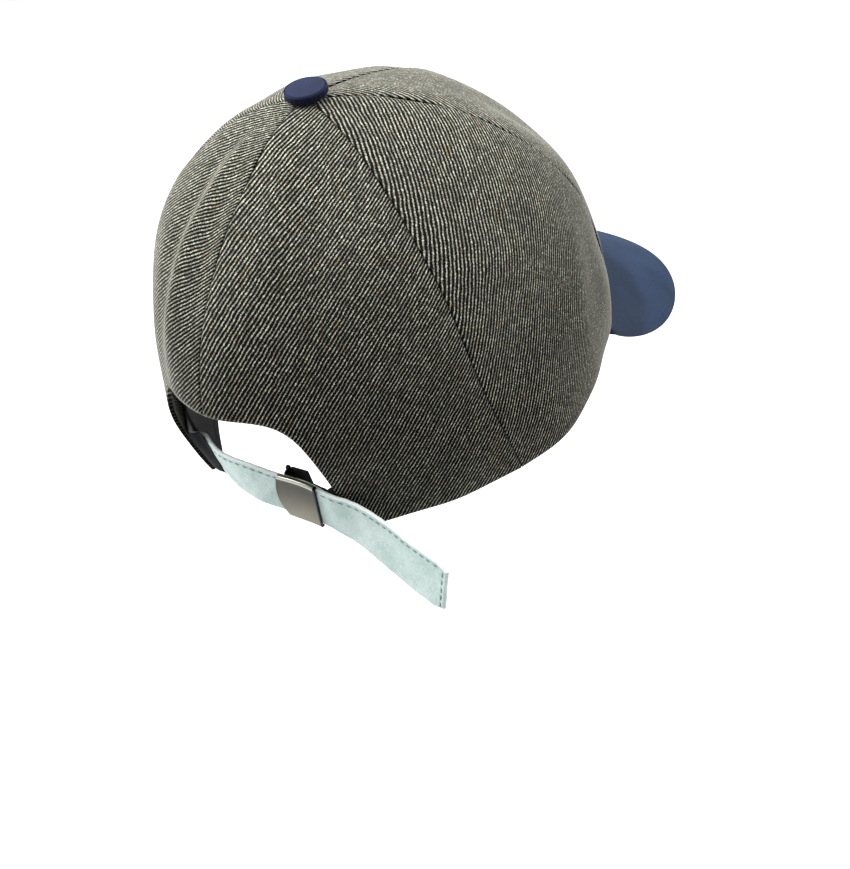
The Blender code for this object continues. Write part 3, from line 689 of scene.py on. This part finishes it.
swell = swell - PEAK_SEAM_GROOVE * np.exp(-(((to_edge - 0.0072) / 0.0007) ** 2))
upper = top + normal * (swell * 0.25 - bevel)[..., None]
lower = top - normal * (PEAK_THICKNESS + swell * 0.25 - bevel)[..., None]
peak_uv = np.stack([top[..., 0], -top[..., 1]], axis=-1) / NAVY_PITCH
peak = closed_shell("peak_cloth", upper, lower, navy, peak_uv)
from_root = np.concatenate([np.zeros_like(span), span * out[:, :, 0]], axis=1)
# Painted shade: a thin dark line along the peak's outer edge, where the rounded edge turns under.
painted_edge_shade = 1 - 0.70 * np.exp(-((to_edge / PEAK_EDGE_SHADE) ** 2))
# Painted shadow: the peak is darker near its root, standing in for the crown's shadow on it.
painted_crown_shadow = 1 - 0.36 / (1 + np.exp((from_root - PEAK_SHADOW_REACH - 0.003 * np.sin(across * 7)[:, None]) / 0.0022))
add_shade(peak, np.concatenate([(painted_edge_shade * painted_crown_shadow).reshape(-1)] * 2))
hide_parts("peak")


# Button. A metal button covered in the navy cloth, whose edge is drawn under in small gathers, set over the hole
# where the six panels meet and held by a shank.
BUTTON_DIAMETER = 0.0148
BUTTON_HEIGHT = 0.0028
SHANK_LENGTH = 0.0032
SKIRT_DROP = 0.0009
GATHERS = 26
GATHER_DEPTH = 0.00010

radius = BUTTON_DIAMETER / 2
shank = SHANK_DIAMETER / 2
back_edge, front_edge = crown_face(np.array([0.0, np.pi]), TOP_RISE)
button_place = (back_edge + front_edge) / 2 + (0.0, 0.0, 4 * GAP)
arc = np.linspace(0, 1, 26)
# radius, height
face = np.stack([radius * 0.90 * (1 - arc), BUTTON_HEIGHT * (0.90 + 0.10 * (1 - (1 - arc) ** 2))], axis=1)
rim = np.array([[0.84, 0.03], [0.90, 0.10], [0.95, 0.20], [0.985, 0.32], [1.0, 0.45], [1.0, 0.60], [1.0, 0.72],
                [0.995, 0.80], [0.98, 0.86], [0.962, 0.885], [0.950, 0.86], [0.938, 0.80], [0.926, 0.80],
                [0.914, 0.86]])
rim = rim * (radius, BUTTON_HEIGHT)
under = np.array([[0.00002, -SHANK_LENGTH], [shank * 0.9, -SHANK_LENGTH], [shank, -SHANK_LENGTH * 0.9],
                  [shank, -0.0002], [shank * 1.1, 0.0], [radius * 0.5, 0.0], [radius * 0.72, 0.00005]])
profile = np.concatenate([under, rim, face[:-1], [[0.00002, BUTTON_HEIGHT]]])
low_part = np.clip(1 - profile[:, 1] / (BUTTON_HEIGHT * 0.6), 0, 1)
profile[:, 1] -= SKIRT_DROP * np.clip((profile[:, 0] / radius - 0.45) / 0.40, 0, 1) ** 2 * low_part
spin = np.linspace(0, 2 * np.pi, 144, endpoint=False)[:, None]
gather = np.exp(-(((profile[:, 1] - BUTTON_HEIGHT * 0.16) / 0.0009) ** 2)) * (profile[:, 0] > radius * 0.6)
wide = profile[:, 0] + GATHER_DEPTH * gather * np.sin(spin * GATHERS + 1.3 * np.sin(spin * 5))
x, y = wide * np.cos(spin), wide * np.sin(spin)
z = np.broadcast_to(profile[:, 1], x.shape)
points = np.stack([x, y, z], axis=-1) + button_place
index = np.arange(points[..., 0].size).reshape(points.shape[:2])
faces = grid_faces(np.concatenate([index, index[:1]])).tolist()
faces += [index[::-1, 0].tolist(), index[:, -1].tolist()]
button_uv = np.stack([x, y], axis=-1) / NAVY_PITCH
button_navy = navy_cloth("navy_cloth_button", (0.0120, 0.0165, 0.049), (0.0200, 0.0270, 0.072))
button = add_piece("button_cloth", points, faces, button_navy, button_uv)
# Painted shade: a thin dark ring just inside the rim of the button's face, for the shadow in its groove.
from_line = np.abs(profile[:, 0] / radius - 0.935)
ring = 1 - 0.85 * np.exp(-((from_line / 0.022) ** 2)) * (profile[:, 1] > BUTTON_HEIGHT * 0.7)
# Painted shade: the side of the button below its face is darker, for the shade under the face's edge.
side = np.where(profile[:, 1] < BUTTON_HEIGHT * 0.7, 0.42, 1.0)
add_shade(button, np.broadcast_to(ring * side, x.shape))
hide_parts("button")


# Strap. One length of pale mint suede, sewn inside the left corner of the arch. It lies across the opening, runs
# through the buckle and ends in a free tail with clipped corners that hangs below the rim.
STRAP_CLIP_LENGTH = 0.0048
STRAP_CLIP = 0.16
STITCH_INSET = 0.0017
CHANNEL_DEPTH = 0.00016

# angle, stand-off, height, twist in degrees, sewn
STRAP_LINE = (
    (-38.0, -0.020, 0.66, 6.0, 1.0),
    (-27.5, -0.030, 0.70, 6.0, 1.0),
    (-22.0, -0.030, 0.76, 6.0, 0.0),
    (-14.0, -0.050, 0.78, 6.0, 0.0),
    (-3.8, -0.079, 0.83, -1.0, 0.0),
    (7.5, -0.090, 0.77, 0.0, 0.0),
    (18.0, -0.026, 0.79, -1.0, 0.0),
    (22.5, 0.022, 0.71, 0.0, 0.0),
    (27.0, 0.068, 0.59, -5.6, 0.0),
    (32.5, 0.173, 0.42, -12.2, 0.0),
    (38.0, 0.325, 0.31, -14.0, 0.0),
    (43.5, 0.486, 0.23, -15.0, 0.0),
)


def strap_knots():
    """The strap line's points, out from the rim and up from it by the table, and the share of length at each."""
    table = np.array(STRAP_LINE)
    angle = np.radians(table[:, 0])
    facing = outward(crown_dome, angle, 0.0) * (1, 1, 0)
    facing /= np.linalg.norm(facing, axis=-1, keepdims=True)
    knots = crown_dome(angle, 0.0) + facing * table[:, 1:2] * HEAD_HALF_WIDTH
    knots[:, 2] += table[:, 2] * STRAP_WIDTH
    span = np.concatenate([[0], np.cumsum(np.linalg.norm(np.diff(knots, axis=0), axis=1))])
    return knots, span / span[-1]


def strap_frames(shares):
    """Points of the strap line, and directions out of its face and up its width, at shares of it."""
    knots, span = strap_knots()
    shares = np.asarray(shares, float)
    points = smooth_curve(shares, span, knots)
    along = smooth_curve(shares + 0.002, span, knots) - smooth_curve(shares - 0.002, span, knots)
    along /= np.linalg.norm(along, axis=-1, keepdims=True)
    level = np.cross(along, (0.0, 0.0, 1.0))
    level /= np.linalg.norm(level, axis=-1, keepdims=True)
    upright = np.cross(level, along)
    twist = np.radians(smooth_curve(shares, span, np.array(STRAP_LINE)[:, 3]))[:, None]
    return points, level * np.cos(twist) - upright * np.sin(twist), upright * np.cos(twist) + level * np.sin(twist)


def inside_cloth(angle, height, thickness):
    """Where the middle of a strap of this thickness lies against the inside of the crown, so high over the rim."""
    rise = height / (CROWN_HEIGHT * ((1 - CROWN_POINT) * np.pi / 2 + CROWN_POINT))
    return crown_inset(angle, rise, CLOTH + 1.5 * GAP + thickness / 2)


def strap_sheet(shares, across):
    """The strap's middle sheet: its line, plus shares across its width, drawn onto the cloth where it is sewn."""
    points, face, width = strap_frames(shares)
    span = strap_knots()[1]
    angle, _, height, _, sewn = smooth_curve(shares, span, np.array(STRAP_LINE)).T[:, :, None]
    rows = across * STRAP_WIDTH
    free = points[:, None] + width[:, None] * rows[:, :, None]
    held = inside_cloth(np.radians(angle), height * STRAP_WIDTH + rows, STRAP_THICKNESS)
    sewn = np.clip(sewn, 0, 1)[:, :, None]
    return free * (1 - sewn) + held * sewn


STRAP_TOTAL = float(np.linalg.norm(np.diff(strap_frames(np.linspace(0, 1, 200))[0], axis=0), axis=1).sum())

suede, tree, shader = new_material("mint_suede", (0.52, 0.64, 0.60), 0.95)
spot = object_place(tree)
place = weave_place(tree)
nap = noise(tree, spot, 1400.0, 3.0)
cloud = noise(tree, spot, 95.0, 3.0)
streak = maths(tree, "MULTIPLY_ADD", nap, 0.55, maths(tree, "MULTIPLY", cloud, 0.55))
mint = mix_colours(tree, soft_step(tree, streak, 0.36, 0.74), (0.36, 0.455, 0.430, 1.0), (0.53, 0.610, 0.595, 1.0))
cut = soft_step(tree, maths(tree, "ABSOLUTE", place[1]), 0.470, 0.498)
tree.links.new(mix_colours(tree, cut, mint, (0.72, 0.77, 0.76, 1.0)), shader.inputs["Base Color"])
bump(tree, shader, streak, 0.00016, 0.7)
shader.inputs["Sheen Weight"].default_value = 0.25
shader.inputs["Sheen Roughness"].default_value = 0.6
shader.inputs["Sheen Tint"].default_value = (0.88, 1.0, 0.97, 1.0)
shader.inputs["Specular IOR Level"].default_value = 0.1

clip_start = 1 - STRAP_CLIP_LENGTH / STRAP_TOTAL
shares = np.concatenate([np.linspace(0, clip_start, 300), clip_start + (1 - clip_start) * ends_closer(24, 0.6)[1:]])
clip = 1 - STRAP_CLIP * np.clip((shares - clip_start) / (1 - clip_start), 0, 1)
across = (ends_closer(45, 0.85) - 0.5)[None, :] * clip[:, None]
sheet = strap_sheet(shares, across)
normal = sheet_normals(sheet)
from_side = (clip[:, None] / 2 - np.abs(across)) * STRAP_WIDTH
from_end = (1 - shares)[:, None] * STRAP_TOTAL
edge = np.minimum(from_side, from_end)
round_off = STRAP_THICKNESS * 0.5 * (1 - np.sqrt(np.clip(1 - np.clip(1 - edge / 0.0007, 0, 1) ** 2, 0, 1)))
channel = CHANNEL_DEPTH * np.exp(-(((from_side - STITCH_INSET) / 0.0004) ** 2)) * (across > 0)
channel = channel + CHANNEL_DEPTH * np.exp(-(((from_end - STITCH_INSET) / 0.0004) ** 2))
uneven = 0.00010 * np.sin(shares[:, None] * 70 + across * 9) + 0.00008 * np.sin(shares[:, None] * 173 - across * 14)
half = STRAP_THICKNESS / 2
front = sheet + normal * (half - round_off * 0.9 - channel + uneven * 0.5)[..., None]
behind = sheet - normal * (half - round_off * 0.9 - uneven * 0.5)[..., None]
strap_uv = np.stack(np.broadcast_arrays(shares[:, None] * STRAP_TOTAL / STRAP_WIDTH, across / clip[:, None]), axis=-1)
strap = closed_shell("strap_suede", front, behind, suede, strap_uv)
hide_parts("strap")


# Strap end cover. The black cotton of the sweatband is carried round over the strap's sewn end, so that the suede
# comes out of a black sleeve at the left corner of the arch.
COVER_START = -37.0
COVER_END = -19.5
COVER_STAND_OFF = 0.00010
COVER_THICKNESS = 0.00025

cover_ends = np.interp([COVER_START, COVER_END], np.array(STRAP_LINE)[:, 0], strap_knots()[1])
cover_share = cover_ends[0] + (cover_ends[1] - cover_ends[0]) * ends_closer(60, 0.4)
cover_across = (ends_closer(31, 0.6) - 0.5)[None, :] * (1.10 + 0.05 * np.sin(cover_share * 90))[:, None]
cover_middle = strap_sheet(cover_share, cover_across)
normal = sheet_normals(cover_middle)
cover_low = cover_middle + normal * (STRAP_THICKNESS / 2 + COVER_STAND_OFF)
cover_uv = np.stack(np.broadcast_arrays(cover_share[:, None] * STRAP_TOTAL, cover_across * STRAP_WIDTH), axis=-1)
cover_high = cover_low + normal * COVER_THICKNESS
cover = closed_shell("strap_end_cover", cover_high, cover_low, black_cotton, cover_uv / COTTON_PITCH)


# Strap stitching. One row of grey-green thread along the strap's upper edge, turning down along its free end.
STITCH_PITCH = 0.0032
STITCH_HALF = 0.0011
STITCH_RISE = 0.00016
THREAD_RADIUS = 0.00020


def add_tubes(name, paths, radii, sides, material):
    """Round threads along paths: a ring of points about each path point, closed by a flat cap at both ends."""
    tangent = np.gradient(paths, axis=1)
    tangent /= np.linalg.norm(tangent, axis=-1, keepdims=True)
    first = np.cross(tangent, (0.31, 0.17, 0.94))
    first /= np.linalg.norm(first, axis=-1, keepdims=True)
    second = np.cross(tangent, first)
    turn = np.linspace(0, 2 * np.pi, sides, endpoint=False)
    ring = first[:, :, None] * np.cos(turn)[:, None] + second[:, :, None] * np.sin(turn)[:, None]
    points = paths[:, :, None] + ring * radii[:, :, None, None]
    index = np.arange(points[..., 0].size).reshape(points.shape[:3])
    wrapped = np.concatenate([index, index[:, :, :1]], axis=2)
    quads = np.stack([wrapped[:, :-1, :-1], wrapped[:, 1:, :-1], wrapped[:, 1:, 1:], wrapped[:, :-1, 1:]], axis=-1)
    faces = quads[..., ::-1].reshape(-1, 4).tolist() + index[:, 0, :].tolist() + index[:, -1, ::-1].tolist()
    return add_piece(name, points, faces, material)


def stitch_paths(points, normals, share, sink):
    """Short arched stitches on a line of points: every other stretch of it, sunk at both ends by a parabola."""
    pairs = points[: len(points) // 2 * 2].reshape(-1, 2, 3)
    lift = normals[: len(points) // 2 * 2].reshape(-1, 2, 3)[:, :1]
    t = np.linspace(-share, share, 7)[None, :, None]
    middle, reach = pairs.mean(axis=1, keepdims=True), (pairs[:, 1:] - pairs[:, :1]) / 2
    return middle + reach * t / share + lift * sink * (0.35 - (t / share) ** 2)


thread, tree, shader = new_material("teal_thread", (0.16, 0.27, 0.26), 0.7)
spot = object_place(tree)
strand = noise(tree, spot, 2400.0, 1.0)
strand = mix_colours(tree, strand, (0.07, 0.15, 0.145, 1.0), (0.20, 0.31, 0.30, 1.0))
tree.links.new(strand, shader.inputs["Base Color"])
shader.inputs["Sheen Weight"].default_value = 0.2

inset = 0.5 - STITCH_INSET / STRAP_WIDTH
count = 2 * int(STRAP_TOTAL * 0.80 / STITCH_PITCH)
row_share = np.repeat(np.linspace(0.18, clip_start - 0.004, count // 2), 2)
row_share = row_share + np.tile([-STITCH_HALF, STITCH_HALF], count // 2) / STRAP_TOTAL
row = strap_sheet(row_share, np.full((len(row_share), 1), inset))[:, 0]
row_normal = strap_frames(row_share)[1]
end_across = np.repeat(np.linspace(inset - 0.10, -inset + 0.05, 5), 2) + np.tile([0.055, -0.055], 5)
end_share = np.full(10, 1 - STITCH_INSET / STRAP_TOTAL)
end_row = strap_sheet(end_share, end_across[:, None])[:, 0]
end_normal = strap_frames(end_share)[1]
line = np.concatenate([row, end_row])
lift = np.concatenate([row_normal, end_normal])
paths = stitch_paths(line + lift * (STRAP_THICKNESS / 2), lift, 1.0, STITCH_RISE)
swell = THREAD_RADIUS * np.sqrt(1.02 - np.linspace(-1, 1, 7) ** 2)
stitching = add_tubes("strap_stitching", paths, np.broadcast_to(swell, paths.shape[:2]), 8, thread)


# Buckle plate. A pressed plate of dark brushed metal that folds over the strap's two edges, open underneath, with
# one short end bowed outward. The strap runs straight through it.
TAB_WIDTH = 0.0174
TAB_THICKNESS = 0.0010
BUCKLE_LENGTH = 0.0170
BUCKLE_END_ANGLE = np.radians(19.0)
BUCKLE_METAL = 0.0007
BUCKLE_EDGE_BULGE = 0.0030
PLATE_CLEARANCE = GAP
BUCKLE_SIDE = -STRAP_THICKNESS / 4
BUCKLE_END = float(np.interp(np.degrees(BUCKLE_END_ANGLE), np.array(STRAP_LINE)[:, 0], strap_knots()[1]))
BUCKLE_START = BUCKLE_END - BUCKLE_LENGTH / STRAP_TOTAL

brushed, tree, shader = new_material("brushed_gunmetal", (0.19, 0.18, 0.14), 0.34, 1.0)
flat_place = add_node(tree, "ShaderNodeUVMap", uv_map="weave").outputs[0]
grain_place = add_node(tree, "ShaderNodeMapping", {"Vector": flat_place, "Scale": (9.0, 1.0, 1.0)})
grain = noise(tree, grain_place.outputs[0], 260.0, 3.0)
smear = noise(tree, object_place(tree), 160.0, 2.0)
along, up = weave_place(tree)[:2]
# Painted light: the plate is darker toward its upper edge and lighter toward its lower edge, with the grain wobbling
# the line between.
wear_and_painted_light = soft_step(tree, maths(tree, "MULTIPLY_ADD", grain, 0.004, up), 0.010, -0.012)
metal = mix_colours(tree, wear_and_painted_light, (0.060, 0.058, 0.046, 1.0), (0.215, 0.203, 0.158, 1.0))
# Painted highlight: a thin pale strip along the plate's upper edge.
bright = mix_colours(tree, soft_step(tree, up, 0.0092, 0.0098), metal, (0.42, 0.41, 0.36, 1.0))
plate_end = BUCKLE_END * STRAP_TOTAL
# Painted shadow: the plate's last strip at its tail end is black, for the shadow in the gap between plate and strap.
painted_gap_shadow = soft_step(tree, along, plate_end - 0.00085, plate_end - 0.00060)
tree.links.new(mix_colours(tree, painted_gap_shadow, bright, (0.004, 0.004, 0.004, 1.0)), shader.inputs["Base Color"])
tree.links.new(maths(tree, "MULTIPLY_ADD", smear, 0.16, 0.28), shader.inputs["Roughness"])
bump(tree, shader, grain, 0.000012, 0.5)
shader.inputs["Anisotropic"].default_value = 0.5

depth = STRAP_THICKNESS / 2 + PLATE_CLEARANCE + BUCKLE_METAL
half = STRAP_WIDTH / 2 + GAP + BUCKLE_METAL
corner = BUCKLE_METAL * 0.9
turn = np.radians(np.linspace(0, 90, 9))
side_out = np.linspace(depth - corner, -BUCKLE_SIDE, 7)[1:]
high = np.stack([half - corner + corner * np.sin(turn), depth - corner + corner * np.cos(turn)], axis=1)
level = np.linspace(-1, 1, 33)[1:-1] * (half - corner)
height = np.concatenate([np.full(6, -half), -high[::-1, 0], level, high[:, 0], np.full(6, half)])
out = np.concatenate([side_out[::-1], high[::-1, 1], np.full(31, depth), high[:, 1], side_out])
in_height = np.sign(height) * np.minimum(np.abs(height), half - BUCKLE_METAL)
in_out = np.minimum(out, depth - BUCKLE_METAL)
bow = BUCKLE_EDGE_BULGE / STRAP_TOTAL * np.clip(1 - (height / half) ** 2, 0, 1)
start = BUCKLE_START - bow
share = start[None, :] + (BUCKLE_END - start[None, :]) * ends_closer(30, 0.6)[:, None]
points, face, width = [part.reshape(*share.shape, 3) for part in strap_frames(share.reshape(-1))]
outer = points + face * out[None, :, None] + width * height[None, :, None]
inner = points + face * in_out[None, :, None] + width * in_height[None, :, None]
plate_uv = np.stack([share * STRAP_TOTAL, np.broadcast_to(height, share.shape)], axis=-1)
plate = closed_shell("buckle_plate_metal", outer, inner, brushed, plate_uv, sharp=40.0)
soften = plate.modifiers.new("Soft edges", "BEVEL")
soften.width = 0.00016
soften.segments = 2
soften.limit_method = "ANGLE"
soften.angle_limit = np.radians(50)
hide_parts("buckle_plate")


# Buckle bar. A short black steel rod with domed ends across the bowed end of the buckle, which the webbing tab is
# looped on and which pinches the strap against the plate.
BAR_DIAMETER = 0.0020
BAR_END = 0.0016
BAR_PLACE = 0.12
BAR_SHARE = BUCKLE_START + BAR_PLACE * BUCKLE_LENGTH / STRAP_TOTAL
BAR_DEPTH = STRAP_THICKNESS / 2 + 3 * GAP + TAB_THICKNESS + BAR_DIAMETER / 2

black_steel, tree, shader = new_material("black_steel", (0.012, 0.012, 0.014), 0.22, 0.9)
scuff = noise(tree, object_place(tree), 900.0, 2.0)
tree.links.new(maths(tree, "MULTIPLY_ADD", scuff, 0.25, 0.12), shader.inputs["Roughness"])
shader.inputs["Coat Weight"].default_value = 0.5

points, face, width = strap_frames([BAR_SHARE])
centre = points[0] - face[0] * BAR_DEPTH
reach = STRAP_WIDTH / 2 + BAR_END
dome = np.sin(np.linspace(0.05, 1, 10) * np.pi / 2)
dome_along = BAR_DIAMETER / 2 - np.sqrt(1 - dome**2) * BAR_DIAMETER / 2
along = np.concatenate([dome_along - reach, np.linspace(-0.9, 0.9, 20) * reach, (reach - dome_along)[::-1]])
thick = np.concatenate([dome, np.ones(20), dome[::-1]]) * BAR_DIAMETER / 2
path = centre + width[0] * along[:, None]
bar = add_tubes("buckle_bar_steel", path[None], thick[None], 28, black_steel)
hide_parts("buckle_bar")


# Buckle tab. Ribbed black webbing that comes out from inside the right corner of the arch, runs under the strap,
# loops round the bar and is folded back on itself.
TAB_RETURN = 0.0070
TAB_REACH = 0.0240
TAB_DIVE = 0.0080
TAB_HEIGHT = 0.0112
TAB_INSIDE = np.radians(9.0)
TAB_END_ANGLE = ARCH_ANGLE + TAB_INSIDE
TAB_END = BUCKLE_END + TAB_REACH / STRAP_TOTAL
RIB_PITCH = 0.0011
PICK_PITCH = 0.0008

webbing, tree, shader = new_material("black_webbing", (0.008, 0.008, 0.011), 0.75)
weave = weave_place(tree)
ribs = maths(tree, "ABSOLUTE", maths(tree, "SINE", maths(tree, "MULTIPLY", weave[0], np.pi)))
picks = maths(tree, "SINE", maths(tree, "MULTIPLY", weave[1], 2 * np.pi))
cord = maths(tree, "MULTIPLY_ADD", picks, 0.2, ribs)
black = mix_colours(tree, cord, (0.002, 0.002, 0.003, 1.0), (0.011, 0.011, 0.015, 1.0))
tree.links.new(black, shader.inputs["Base Color"])
bump(tree, shader, cord, 0.00018, 0.8)
shader.inputs["Sheen Weight"].default_value = 0.12

radius = BAR_DIAMETER / 2 + 2 * GAP + TAB_THICKNESS / 2
turn = np.linspace(0, np.pi, 40)[1:-1]
outer_run = np.linspace(TAB_END, BAR_SHARE, 90)
loop = BAR_SHARE - radius / STRAP_TOTAL * np.sin(turn)
back_run = np.linspace(BAR_SHARE, BAR_SHARE + TAB_RETURN / STRAP_TOTAL, 24)
shares = np.concatenate([outer_run, loop, back_run])
depths = BAR_DEPTH - radius * np.concatenate([np.ones(len(outer_run)), np.cos(turn), -np.ones(len(back_run))])
past = np.clip((shares - BUCKLE_END) / (TAB_END - BUCKLE_END), 0, 1)
depths = depths + TAB_DIVE * past
points, face, width = strap_frames(shares)
rows = (ends_closer(25, 0.7) - 0.5)[None, :] * TAB_WIDTH
free = (points - face * depths[:, None])[:, None] + width[:, None] * rows[:, :, None]
past = past[:, None]
angle = BUCKLE_END_ANGLE + (TAB_END_ANGLE - BUCKLE_END_ANGLE) * past
buckle_height = STRAP_WIDTH * smooth_curve(BUCKLE_END, strap_knots()[1], np.array(STRAP_LINE)[:, 2])
held = inside_cloth(angle, TAB_HEIGHT + (buckle_height - TAB_HEIGHT) * (1 - past) + rows, TAB_THICKNESS)
sewn = np.clip(past * (TAB_END_ANGLE - BUCKLE_END_ANGLE) / (ARCH_ANGLE - BUCKLE_END_ANGLE), 0, 1)
sewn = (sewn**2 * (3 - 2 * sewn))[:, :, None]
sheet = free * (1 - sewn) + held * sewn
normal = sheet_normals(sheet)
from_side = TAB_WIDTH / 2 - np.abs(rows)
thin_edge = TAB_THICKNESS * 0.28 * np.clip(1 - from_side / 0.0006, 0, 1) ** 2
run_length = np.concatenate([[0], np.cumsum(np.linalg.norm(np.diff(sheet[:, 12], axis=0), axis=1))])
upper = sheet + normal * (TAB_THICKNESS / 2 - thin_edge)[..., None]
lower = sheet - normal * (TAB_THICKNESS / 2 - thin_edge)[..., None]
tab_uv = np.stack(np.broadcast_arrays(rows / RIB_PITCH, run_length[:, None] / PICK_PITCH), axis=-1)
tab = closed_shell("buckle_tab_webbing", upper, lower, webbing, tab_uv)
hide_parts("buckle_tab")
